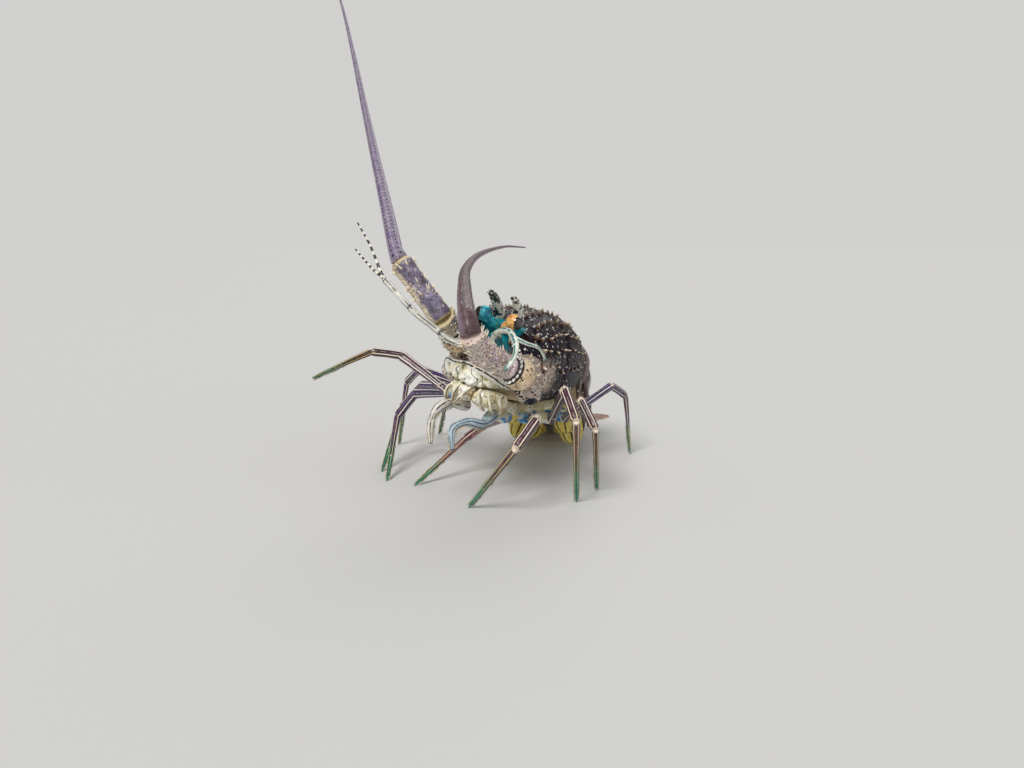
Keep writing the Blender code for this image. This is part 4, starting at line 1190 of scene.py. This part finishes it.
ANTENNULE_SKIN = {
    "right": antennule_material("antennule_white", (0.88, 0.88, 0.78), (0.012, 0.015, 0.02),
                                (0.01, 0.2, 0.27), 0.7, 5.0),
    "left": antennule_material("antennule_green", (0.76, 0.79, 0.66), (0.02, 0.16, 0.19), (0.01, 0.26, 0.3),
                               0.5, 2.0),
}
ANTENNULE_WHIP = {
    "right": banded_material("antennule_whip_white", 9.0, (0.88, 0.86, 0.72), (0.015, 0.02, 0.02), 0.45),
    "left": antennule_material("antennule_whip_green", (0.8, 0.83, 0.72), (0.06, 0.2, 0.21),
                               (0.62, 0.68, 0.58), 0.1, 2.0),
}

for side, way in SIDES.items():
    stalk, whips = ANTENNULES[side]
    root = [at(forward, left * way, dorsal) for forward, left, dorsal in ANTENNULE_ROOT]
    points = through([*root, *(world(p) for p in stalk)], ANTENNULE_STEPS)
    antennule = Form()
    for part, (start, end) in enumerate(ANTENNULE_SEGMENTS):
        radii = between(*ANTENNULE_RADII, ANTENNULE_STEPS)[start:end + 1]
        sizes = [radius * (0.92 + 0.18 * t ** 4 - 0.3 * max(0.0, (t - 0.93) / 0.07) ** 2)
                 for radius, t in zip(radii, between(0.0, 1.0, end - start))]
        antennule.sweep(points[start:end + 1], sizes, UP, 16, float(part))
    antennule.zone = 1
    for (near, far), route in whips:
        path = through([points[-6], points[-1], *(world(p) for p in route)], ANTENNULE_WHIP_RINGS)
        sizes = [size * (1.0 + 0.05 * (k % 2))
                 for k, size in enumerate(between(near, far, ANTENNULE_WHIP_RINGS))]
        antennule.sweep(path, sizes, UP, 14)
    antennule.piece(f"antennule_{side}_fine", "antennule", ANTENNULE_SKIN[side], ANTENNULE_WHIP[side],
                    replaces=["antennule_" + side])


# Legs: tubes of hard shell jointed by soft skin: a blue coxa, a short second segment, a long
# thigh, a wrist, a slender hand and a pointed claw. They are near-black purple with cream
# stripes lengthwise and, towards the claw, gold and then green with stiff bristles.
# By pair: lengths of thigh, wrist and hand. By leg: hip on the body, foot on the floor, and
# how far the leg's plane leans.
LEG_LENGTHS = {1: (38, 17, 42), 2: (46, 19, 50), 3: (48, 20, 52), 4: (44, 18, 46), 5: (38, 16, 40)}
LEG_THICK = {1: 2.9, 2: 3.3, 3: 3.1, 4: 2.8, 5: 2.5}
STANCE = {
    ("left", 1): ((-9, 14, -31), (-38, 30, 0), 80),
    ("left", 2): ((-26, 23, -30), (-5, -8, 0), -50),
    ("left", 3): ((-41, 30, -29), (52, 1, 0), 10),
    ("left", 4): ((-56, 34, -28), (65, 22, 0), 20),
    ("left", 5): ((-70, 34, -27), (95, 100, 0), 0),
    ("right", 1): ((-12, 24, -28), (-89, 13, 65), 60),
    ("right", 2): ((-26, 26, -30), (-55, 39, 0), 70),
    ("right", 3): ((-41, 31, -29), (-61, 58, 0), 70),
    ("right", 4): ((-56, 34, -28), (-60, 125, 0), 0),
    ("right", 5): ((-70, 34, -27), (-35, 155, 0), 0),
}
# Rows of share along and thickness for coxa, second segment, thigh, wrist, hand and claw.
LEG_PARTS = [
    [(0.0, 0.8), (0.12, 1.08), (0.5, 1.12), (0.88, 1.08), (1.0, 0.8)],
    [(0.0, 0.7), (0.15, 0.98), (0.6, 0.92), (0.9, 0.9), (1.0, 0.7)],
    [(0.0, 0.66), (0.03, 0.78), (0.12, 0.8), (0.45, 0.92), (0.8, 1.0), (0.93, 1.07), (0.97, 1.05),
     (0.99, 0.85), (1.0, 0.6)],
    [(0.0, 0.6), (0.05, 0.84), (0.2, 0.9), (0.6, 0.88), (0.88, 0.92), (0.96, 0.82), (1.0, 0.55)],
    [(0.0, 0.5), (0.04, 0.68), (0.2, 0.66), (0.6, 0.54), (0.9, 0.47), (0.97, 0.5), (1.0, 0.36)],
    [(0.0, 0.38), (0.05, 0.44), (0.35, 0.38), (0.75, 0.25), (1.0, 0.12)],
]
BRISTLES = 230
# How far each part reaches back into the one before, how far it bows, and its steps.
LEG_JOINTS = ((0.0, 0.0, 14), (1.5, 0.0, 14), (0.8, 0.4, 26), (0.8, 0.3, 20), (0.6, 0.3, 26),
              (0.5, 0.25, 20))


def leg_material(name, dark, stripe, thigh_tint, hand_tint):
    """Stripes lengthwise on near-black purple; part numbers 0 to 5 run from coxa to claw."""
    skin = Finish(name, coat=(0.35, 0.18))
    around, along = skin.map()
    share = fract(along)
    clouds, specks, relief = skin.grain(200.0, 900.0)
    wobble = clouds * 0.16 + around * 5.0
    lane = abs(fract(wobble) - 0.5)
    bold = lane.step(0.105, 0.075)
    thin_lane = abs(fract(wobble * 2.0 + 0.5) - 0.5)
    thin = thin_lane.step(0.06, 0.03) * lane.step(0.2, 0.24)
    broken = skin.noise(420.0).step(0.42, 0.5)
    middle = tuple(0.6 * a + 0.4 * b for a, b in zip(dark, thigh_tint))
    base = clouds.ramp((0.32, dark), (0.52, middle), (0.72, thigh_tint))
    outward = along / 6.0
    pale = outward.ramp((0.0, (0.45, 0.6, 0.78)), (0.2, stripe), (0.6, (0.9, 0.82, 0.68)),
                        (0.72, hand_tint), (0.86, (0.4, 0.6, 0.26)), (0.97, (0.04, 0.42, 0.26)))
    skin.colour = skin.mix(thin * broken * 0.75, base, pale)
    skin.over(bold, pale)
    edge = either(share.step(0.955, 0.985), share.step(0.05, 0.02))
    joint = skin.mix(skin.dots(700.0, 0.34, 0.24), (0.7, 0.6, 0.46), (0.06, 0.03, 0.04))
    skin.over(edge * along.step(5.05, 4.95), joint)
    patches = skin.noise(95.0, 2.0)
    coxa = patches.ramp((0.43, (0.84, 0.78, 0.54)), (0.475, (0.46, 0.62, 0.66)),
                        (0.505, (0.01, 0.24, 0.52)), (0.61, (0.0, 0.08, 0.24)))
    coxa = skin.mix(specks * 0.6, coxa, (0.05, 0.03, 0.04))
    skin.over(along.step(1.3, 0.9), coxa)
    green = clouds.ramp((0.3, (0.0, 0.05, 0.045)), (0.7, (0.01, 0.18, 0.12)))
    skin.over(along.step(4.6, 5.2) * (1.0 - bold), green)
    return skin.done(clouds * 0.3 + 0.2, relief + bold * 0.8, 0.35, 0.0005)


LEG_SHELL = {
    "violet": leg_material("leg_violet", (0.014, 0.006, 0.022), (0.86, 0.8, 0.82), (0.055, 0.018, 0.16),
                           (0.9, 0.72, 0.4)),
    "maroon": leg_material("leg_maroon", (0.016, 0.006, 0.012), (0.88, 0.8, 0.74), (0.1, 0.022, 0.06),
                           (0.92, 0.66, 0.24)),
    "pink": leg_material("leg_pink", (0.1, 0.02, 0.035), (0.86, 0.66, 0.62), (0.28, 0.06, 0.09),
                         (0.6, 0.62, 0.34)),
}
LEG_TINTS = {("left", 1): "pink", ("left", 2): "maroon", ("left", 3): "maroon", ("left", 4): "maroon",
             ("right", 1): "maroon"}
BRISTLE = thorn_material("bristle", (0.05, 0.16, 0.1), (0.3, 0.3, 0.14), (0.62, 0.52, 0.26))
KNEE_THORN = thorn_material("knee_thorn", (0.03, 0.015, 0.03), (0.26, 0.16, 0.16), (0.9, 0.84, 0.72))


def leg_joints(side, number):
    """Hip, knee, wrist and foot: equal bends at knee and wrist reach the foot."""
    (forward, left, dorsal), foot, lean = STANCE[(side, number)]
    thigh, wrist, hand = LEG_LENGTHS[number]
    hip = at(forward, left * SIDES[side], dorsal)
    foot = world(foot)
    span = foot - hip
    along = unit(span)
    across = unit(along.cross(UP))
    lean = radians(lean)
    outward = across.cross(along) * cos(lean) + across * sin(lean)
    low, high = 0.0, 2.6
    for _ in range(40):
        bend = (low + high) / 2.0
        reach = (thigh + wrist * cos(bend) + hand * cos(2.0 * bend),
                 wrist * sin(bend) + hand * sin(2.0 * bend))
        if hypot(*reach) > span.length:
            low = bend
        else:
            high = bend
    turn = atan2(reach[1], reach[0])

    def joint(x, y):
        return (hip + along * (x * cos(turn) + y * sin(turn))
                + outward * (x * sin(turn) - y * cos(turn)))

    wrist_point = joint(thigh + wrist * cos(bend), wrist * sin(bend))
    return hip, joint(thigh, 0.0), wrist_point, foot


def squarish(turn):
    """The outline of a leg: round with four soft corners that the stripes run along."""
    return 1.0 + 0.04 * cos(4.0 * turn)


def limb_part(form, part, start, end, thick, up, bow, steps):
    """One segment of a limb between two joints, slightly bowed."""
    points, sizes = [], []
    for t in between(0.0, 1.0, steps):
        points.append(start.lerp(end, t) + Vector(up) * bow * sin(pi * t))
        radius = thick * smooth_row(LEG_PARTS[part], t)[0]
        sizes.append((radius * 0.92, radius * 1.04))
    form.sweep(points, sizes, up, 28, float(part), squarish)


for (side, number), ((forward, _, dorsal), *_) in STANCE.items():
    way = SIDES[side]
    hip, knee, wrist, foot = leg_joints(side, number)
    thick = LEG_THICK[number]
    root = at(forward, (smooth_row(STERNUM, forward)[0] + 1.3) * way, dorsal - 1.0)
    bend_up = unit(knee - (hip + wrist) * 0.5)
    second_end = hip.lerp(knee, 0.15)
    claw = wrist.lerp(foot, 0.66)
    leg = Form()
    joints = (root, hip, second_end, knee, wrist, claw, foot)
    for part, (start, end, (overlap, bow, steps)) in enumerate(zip(joints, joints[1:], LEG_JOINTS)):
        limb_part(leg, part, start - unit(end - start) * overlap, end, thick, bend_up, bow, steps)
    tint = LEG_TINTS.get((side, number), "violet")
    leg.piece(f"leg_{side}_{number}_shell", "leg", LEG_SHELL[tint],
              replaces=[f"leg_{side}_{number}_upper", f"leg_{side}_{number}_lower"])

    thorn_rows = []
    for start, end, beyond in ((hip, knee, wrist), (knee, wrist, foot)):
        along = unit(end - start)
        outer = unit(along - unit(beyond - end))
        outer = square(outer, along)
        across = along.cross(outer)
        for k in range(5):
            turn = radians(32.0 * (k - 2))
            out = outer * cos(turn) + across * sin(turn)
            foot_of = end - along * (2.4 + 0.6 * (k % 2)) + out * thick * 0.7
            thorn_rows.append((foot_of, unit(out * 0.8 + along * 0.7), along,
                               thick * uniform(0.62, 0.8) * (1.0 if start == hip else 0.7)))
    thorns(f"leg_{side}_{number}_spines", thorn_rows, KNEE_THORN, 0.2, 0.1, 0.1, 7)

    bristles = []
    along = unit(foot - wrist)
    across = unit(along.cross(bend_up))
    for _ in range(BRISTLES):
        t = 0.42 + 0.54 * random.random() ** 0.7
        turn = random.choice((-1.9, -1.2, 1.2, 1.9)) + uniform(-0.3, 0.3)
        out = bend_up * -cos(turn * 0.7) + across * sin(turn)
        out = square(out, along)
        axis = wrist.lerp(foot, t)
        radius = thick * (0.5 - 0.28 * max(0.0, (t - 0.5) / 0.5))
        start = axis + out * radius * 0.6
        length = uniform(1.4, 2.6)
        if start.z - length * 0.3 < 0.3:
            continue
        bristles.append((start, unit(out + along * 0.9), along, length))
    thorns(f"leg_{side}_{number}_bristles", bristles, BRISTLE, 0.055, 0.3, 0.4, 4)


# Maxillipeds: the short hairy mouth legs folded in front of the jaws, made like the legs
# but in one smooth curve with three swollen segments.
MOUTH_LEGS = {
    "right": ((-2, -8, -30.5), [(-15, 2, 54), (-22, -7, 51), (-24, -9, 44), (-24, -10, 35)]),
    "left": ((-2, 8, -30.5), [(2, -10, 45), (-6, -18, 48), (-12, -21, 45), (-12, -24, 35)]),
}
MOUTH_LEG_RADII = (3.6, 1.5)
MOUTH_LEG_STEPS, MOUTH_LEG_SEGMENTS = 60, ((0, 24), (23, 44), (43, 60))
MOUTH_LEG_HAIRS, PALP_HAIRS = 260, 60
MOUTH_SHELL = {
    "right": antennule_material("mouth_leg_white", (0.8, 0.76, 0.7), (0.02, 0.01, 0.02), (0.76, 0.68, 0.42),
                                1.1, 6.0),
    "left": antennule_material("mouth_leg_blue", (0.42, 0.54, 0.6), (0.002, 0.012, 0.07), (0.4, 0.52, 0.52),
                               1.1, 7.0),
}
MOUTH_HAIR = thorn_material("mouth_hair", (0.3, 0.22, 0.12), (0.6, 0.48, 0.26), (0.82, 0.72, 0.46))

PALPS = [
    [(13.5, 2.6, -18.8), (18.6, 3.8, -21.6), (18.4, 5.8, -25.2), (14.5, 7.6, -28.2)],
    [(12.0, 8.0, -19.0), (17.0, 9.4, -21.8), (16.2, 10.8, -25.6), (11.5, 11.4, -28.6)],
    [(8.0, 12.6, -18.8), (12.8, 14.8, -21.8), (11.6, 15.4, -25.4), (7.0, 14.4, -28.4)],
]
PALP_RADII, PALP_RINGS = (1.7, 0.6), 30
PALP_SKIN = antennule_material("palp_cream", (0.92, 0.88, 0.7), (0.14, 0.09, 0.05), (0.84, 0.76, 0.46), 1.1)
palps = Form()
fringe = []
for way in (-1.0, 1.0):
    for path in PALPS:
        wavy = [(forward + 0.8 * sin(3.1 * left * way), left * way + 0.9 * cos(2.3 * forward * way),
                 dorsal + 0.7 * sin(1.7 * dorsal * way)) for forward, left, dorsal in path]
        points = through([at(*place) for place in wavy], PALP_RINGS)
        sizes = [size * (1.0 + 0.14 * cos(k * pi / 7.5 + path[0][0] * way))
                 for k, size in enumerate(between(*PALP_RADII, PALP_RINGS))]
        palps.sweep(points, [(size * 0.8, size * 1.15) for size in sizes], UP, 16, 1.0)
        for _ in range(PALP_HAIRS):
            k = random.randint(8, 28)
            along = unit(points[k + 1] - points[k])
            out = Vector((uniform(-1, 1), uniform(-1, 0.2), uniform(-1, 0.4)))
            out = square(out, along)
            fringe.append(hair(points[k] + out * sizes[k] * 0.8, out, along, 0.8, 1.0, 2.2))
palps.piece("mouth_palps", "mouthparts", PALP_SKIN)
thorns("mouth_palps_fringe", fringe, MOUTH_HAIR, 0.05, 0.35, 0.4, 4)

for side in ("left", "right"):
    start, rest = MOUTH_LEGS[side]
    points = through([at(*start), *(world(p) for p in rest)], MOUTH_LEG_STEPS)
    mouth_leg = Form()
    for part, (first, last) in enumerate(MOUTH_LEG_SEGMENTS):
        sizes = []
        radii = between(*MOUTH_LEG_RADII, MOUTH_LEG_STEPS)[first:last + 1]
        for radius, t in zip(radii, between(0.0, 1.0, last - first)):
            swell = 0.3 * sin(pi * min(1.0, t * 1.15 + 0.1)) ** 0.6
            sizes.append((radius * (0.78 + swell), radius * (0.7 + swell)))
        mouth_leg.sweep(points[first:last + 1], sizes, UP, 22, float(part) + 1.0)
    mouth_leg.piece(f"mouth_leg_{side}", "mouthparts", MOUTH_SHELL[side], replaces=["maxilliped_" + side])
    hairs = []
    for _ in range(MOUTH_LEG_HAIRS):
        k = random.randint(18, 58)
        along = unit(points[k + 1] - points[k])
        out = (-UP + Vector((uniform(-1, 1), uniform(-1, 1), 0.3)) * 0.8)
        out = square(out, along)
        hairs.append(hair(points[k] + out * (3.1 - 2.0 * k / MOUTH_LEG_STEPS), out, along, 0.5, 1.2, 2.6))
    thorns(f"mouth_leg_{side}_hair", hairs, MOUTH_HAIR, 0.045, 0.35, 0.4, 4)


# Abdomen: six overlapping rings of shell, each with a smooth front half that slides under
# the one before, a cross furrow, a pointed flap at each side and soft leaves below.
# Rows: length, slope, half width, height above, depth below.
SOMITES = [
    (15.0, 28.0, 25.5, 21.5, 14.5),
    (17.0, 45.0, 27.0, 22.0, 15.5),
    (17.0, 46.0, 26.5, 21.0, 15.0),
    (17.0, 40.0, 25.0, 19.5, 14.0),
    (17.0, 29.0, 23.0, 17.0, 12.0),
    (19.0, 14.0, 20.0, 14.0, 9.5),
]
ABDOMEN_END = (18.0, 9.5, 5.5)
TAIL_BEND = 18.0
FLAP_LOWEST, FLAP_STEPS = 2.0, 24
FLAP_HAIRS, LEAF_HAIRS, RING_HAIRS = 26, 60, 90
FLAP_SIZES = [(0.0, 4.4), (0.3, 4.3), (0.6, 3.0), (0.85, 1.4), (1.0, 0.35)]
SWIMMERET = (14.0, 8.5, 1.0)


def abdomen_material():
    """Dark green-brown to maroon, with many small white spots, a pale hind edge and painted shade in the
    cross furrow.
    """
    skin = Finish("abdomen_shell", coat=(0.4, 0.2))
    around, along = skin.map()
    share = fract(along)
    clouds, specks, relief = skin.grain(60.0, 700.0)
    shell = clouds.ramp((0.3, (0.02, 0.014, 0.016)), (0.5, (0.075, 0.032, 0.026)),
                        (0.7, (0.14, 0.065, 0.05)))
    spots = skin.cells(260.0)
    skin.colour = skin.mix(spots.step(0.2, 0.13), shell, (0.8, 0.74, 0.62))
    skin.over(specks * 0.25, (0.5, 0.4, 0.3))
    hind = share.step(0.93, 0.96) * share.step(1.0, 0.985)
    skin.over(hind * 0.8, (0.62, 0.5, 0.3))
    # Painted shade: the cross furrow is painted near-black as well as sunk.
    furrow = abs(share - 0.55).step(0.03, 0.01)
    skin.over(furrow * 0.6, (0.01, 0.006, 0.008))
    under = abs(around - 0.5).step(0.19, 0.14)
    skin.over(under, clouds.ramp((0.35, (0.4, 0.28, 0.16)), (0.65, (0.66, 0.54, 0.34))))
    return skin.done(clouds * 0.25 + 0.22, relief - furrow * 1.5, 0.3, 0.0006)


def leaf_material():
    """Yellow-orange leaves with a dark middle and a thin black rim."""
    skin = Finish("swimmeret_leaf", Subsurface_Weight=0.1, Subsurface_Scale=0.002)
    around, along = skin.map()
    clouds = skin.noise(260.0, 4.0)
    share = fract(along)
    skin.colour = clouds.ramp((0.3, (0.62, 0.42, 0.05)), (0.5, (0.9, 0.74, 0.16)),
                              (0.7, (0.93, 0.86, 0.42)))
    side = abs(fract(clouds * 0.1 + around * 8.0) - 0.5)
    rim = either(side.step(0.38, 0.43), share.step(0.93, 0.97))
    skin.over(either(rim, share.step(0.2, 0.05)), (0.02, 0.012, 0.012))
    veins = skin.add("ShaderNodeTexWave", {"Vector": skin.place, "Scale": 320.0, "Distortion": 3.0}, 1)
    return skin.done(clouds * 0.3 + 0.35, veins, 0.3, 0.0003)


def abdomen_stations():
    """Middle, axes and half sizes at each joint of the abdomen, down to the tail."""
    place = at(-95.3, 0.0, 0.0)
    stations = []
    slopes = [SOMITES[0][1]] + [row[1] for row in SOMITES] + [SOMITES[-1][1] - 8.0]
    sizes = [row[2:] for row in SOMITES] + [ABDOMEN_END]
    for i, size in enumerate(sizes):
        yaw = radians(BODY_YAW - TAIL_BEND * min(1.0, i / 3.0))
        back = Vector((sin(yaw), cos(yaw), 0.0))
        level_left = UP.cross(-back)
        slope = radians((slopes[i] + slopes[i + 1]) * 0.5 if i else BODY_PITCH)
        roll = radians(BODY_ROLL * max(0.0, 1.0 - i / 4.5))
        tail = back * cos(slope) - UP * sin(slope)
        above = back * sin(slope) + UP * cos(slope)
        left = level_left * cos(roll) - above * sin(roll)
        above = above * cos(roll) + level_left * sin(roll)
        stations.append((place, tail, left, above, size))
        if i < len(SOMITES):
            slope = radians(SOMITES[i][1])
            place = place + (back * cos(slope) - UP * sin(slope)) * SOMITES[i][0]
    return stations


ABDOMEN_SHELL, LEAF = abdomen_material(), leaf_material()
RING_SWELL = [(0.0, 0.91), (0.1, 0.925), (0.3, 0.95), (0.42, 0.995), (0.55, 0.975),
              (0.62, 1.005), (0.9, 1.02), (0.97, 1.025), (1.0, 1.0)]
stations = abdomen_stations()
edge_hairs = []
for index in range(6):
    near, far = stations[index], stations[index + 1]
    somite = Form()
    rings = []
    for t in between(0.0, 1.0, 30):
        middle = near[0].lerp(far[0], t)
        tail, left, above = (unit(near[j].lerp(far[j], t)) for j in (1, 2, 3))
        half, high, low = (a * (1.0 - t) + b * t for a, b in zip(near[4], far[4]))
        swell = smooth_row(RING_SWELL, t)[0]
        shift = {0.0: 0.15, 1.0: -0.15}.get(t, 0.0)
        ring = []
        for turn in turns(72):
            across, height = arch(turn, high * swell, low)
            ring.append(middle + tail * shift + left * half * swell * across + above * height)
        rings.append(ring)
    somite.skin(rings, float(index))
    middle = near[0].lerp(far[0], 0.5)
    tail, left, above = (unit(near[j].lerp(far[j], 0.5)) for j in (1, 2, 3))
    half, high, low = near[4]
    for way in (-1.0, 1.0):
        root = middle + left * way * half * 0.86 - above * low * 0.15 - tail * 1.0
        tip = middle + left * way * (half + 1.5) - above * (low + 6.5 - index * 0.9) + tail * 6.0
        tip.z = max(tip.z, FLAP_LOWEST)
        path = through([root, root.lerp(tip, 0.5) + left * way * 1.4 - tail * 0.8, tip], FLAP_STEPS)
        sizes = profile(FLAP_SIZES, FLAP_STEPS)
        somite.sweep(path, [(s, s * 0.55) for s in sizes], left * way, 20, float(index))
        for _ in range(FLAP_HAIRS):
            k = int(uniform(0.2, 0.95) * FLAP_STEPS)
            out = unit(tail * 0.9 - above * 0.4 + left * way * uniform(-0.2, 0.3))
            edge_hairs.append((path[k] + tail * sizes[k] * 0.7, out, tail, uniform(1.2, 2.4)))
    somite.zone = 1
    if 1 <= index <= 4:
        for way in (-1.0, 1.0):
            hang = unit(left * way * 0.35 - above + tail * 0.45)
            thin = unit(tail + above * 0.45)
            wide = unit(hang.cross(thin))
            thin = unit(wide.cross(hang))
            root = middle + left * way * half * 0.42 - above * (low - 2.5)
            long = min(SWIMMERET[0], (root.z - 2.0) * 0.5)
            centre = root + hang * long
            somite.ball(centre, (hang, wide, thin), (long, SWIMMERET[1], SWIMMERET[2]), 0.0, 28, 20, 0.7)
            for _ in range(LEAF_HAIRS):
                spin = uniform(-2.2, 2.2)
                rim_way = hang * cos(spin) + wide * sin(spin)
                spot = centre + hang * long * cos(spin) * 0.93 + wide * SWIMMERET[1] * sin(spin) * 0.93
                edge_hairs.append((spot, unit(rim_way), thin, uniform(1.2, 2.2)))
    somite.piece(f"somite_{index + 1}_ring", "abdomen", ABDOMEN_SHELL, LEAF,
                 replaces=[f"somite_{index + 1}"])
    for _ in range(RING_HAIRS):
        turn = radians(uniform(-108.0, 108.0))
        across, height = arch(turn, *far[4][1:])
        spot = far[0] + far[2] * far[4][0] * across * 1.005 + far[3] * height * 1.005 - far[1] * 0.5
        out = unit(far[1] + unit(spot - far[0]) * 0.25)
        edge_hairs.append((spot, out, far[1], uniform(0.9, 1.7)))
thorns("abdomen_fringe", edge_hairs, MOUTH_HAIR, 0.055, 0.2, 0.4, 4)


# Tail fan: a middle blade and two on each side, thin, ribbed and fringed with hair. Their
# stiff roots are shell, their outer halves leathery, and they lie flat on the floor.
# Blades: side, place across, turn outwards, half widths at root and end, length.
BLADES = {
    "telson": (1.0, 0.0, 0.0, 7.0, 11.5, 44.0),
    "uropod_left_inner": (1.0, 10.8, 16.5, 3.0, 10.5, 47.0),
    "uropod_right_inner": (-1.0, 10.8, 16.5, 3.0, 10.5, 47.0),
    "uropod_left_outer": (1.0, 17.9, 38.0, 3.0, 10.5, 46.0),
    "uropod_right_outer": (-1.0, 17.9, 38.0, 3.0, 10.5, 46.0),
}
BLADE_THICK = 1.4
BLADE_RIDGE = 0.35
SIDE_HAIRS, END_HAIRS = 4, 90


def fan_material():
    """Dark roots with pale spots, orange and dark bands, pale hind border, fine ribs lengthwise with
    painted shade in the grooves between them.
    """
    skin = Finish("fan_blade", coat=(0.2, 0.3))
    around, along = skin.map()
    clouds, specks, relief = skin.grain(90.0, 800.0)
    wave = clouds * 0.12 + along - 0.06
    bands = wave.ramp((0.0, (0.035, 0.018, 0.022)), (0.4, (0.09, 0.035, 0.025)), (0.52, (0.42, 0.18, 0.07)),
                      (0.66, (0.1, 0.03, 0.025)), (0.82, (0.3, 0.1, 0.05)), (0.93, (0.06, 0.02, 0.025)),
                      (0.97, (0.75, 0.62, 0.4)))
    spots = skin.dots(260.0, 0.2, 0.13) * along.step(0.6, 0.45)
    skin.colour = skin.mix(spots, bands, (0.8, 0.72, 0.58))
    rib = abs(fract(around * 26.0) - 0.5)
    ribs = rib.step(0.2, 0.42) * along.step(0.35, 0.5)
    # Painted shade: the sunken grooves between the ribs are painted dark.
    skin.over(ribs * 0.45, (0.02, 0.01, 0.01))
    return skin.done(clouds * 0.3 + 0.3, relief * 0.4 - ribs, 0.5, 0.0005)


FAN_BLADE = fan_material()
root, tail, left, above, size = stations[-1]
fan_back = unit(Vector((tail.x, tail.y, 0.0)))
fan_left = UP.cross(-fan_back)
fringe = []
for node, (way, sideways, turned, root_half, end_half, length) in BLADES.items():
    turn = radians(turned) * way
    along = fan_back * cos(turn) + fan_left * sin(turn)
    across = fan_left * cos(turn) - fan_back * sin(turn)
    start = root + fan_left * sideways * way + fan_back * (0.3 + root_half * sin(radians(turned)))
    blade = Form()
    rings = []
    for t in between(0.0, 1.0, 48):
        half = root_half + (end_half - root_half) * t
        if t > 0.72:
            half *= sqrt(max(0.14, 1.0 - ((t - 0.72) / 0.3) ** 2))
        drop = max(0.0, 1.0 - t / 0.5)
        height = (root.z - BLADE_THICK) * drop * drop * (3.0 - 2.0 * drop)
        thick = BLADE_THICK * (1.0 - 0.3 * t)
        top, bottom = [], []
        for s in between(0.0, 1.0, 40):
            spot = start + along * length * t + across * half * (2.0 * s - 1.0)
            ridge = BLADE_RIDGE * (0.5 - 0.5 * cos(6.0 * pi * s))
            edge = (1.0 - abs(2.0 * s - 1.0) ** 8) * (thick - BLADE_RIDGE - 0.35) + 0.35
            top.append(Vector((spot.x, spot.y, height + edge + ridge * (1.0 - abs(2.0 * s - 1.0) ** 6))))
            bottom.append(Vector((spot.x, spot.y, height)))
        rings.append(top + bottom[::-1])
        if t > 0.55:
            for edge_way in (-1.0, 1.0):
                for _ in range(SIDE_HAIRS):
                    reach = along * length * (t + uniform(-0.01, 0.01))
                    spot = start + reach + across * half * 0.97 * edge_way
                    out = unit(across * edge_way + along * uniform(0.4, 1.0))
                    fringe.append((Vector((spot.x, spot.y, height + 0.5)), out, along, uniform(1.2, 2.0)))
    for _ in range(END_HAIRS):
        s = uniform(-1.0, 1.0)
        spot = start + along * length * 0.993 + across * half * s
        fringe.append((Vector((spot.x, spot.y, 0.55)), unit(along + across * s * 0.5), across,
                       uniform(1.2, 2.0)))
    blade.skin(rings)
    blade.piece(node + "_blade", "tail_fan", FAN_BLADE, replaces=[node])
thorns("fan_fringe", fringe, MOUTH_HAIR, 0.06, 0.0, 0.4, 4)
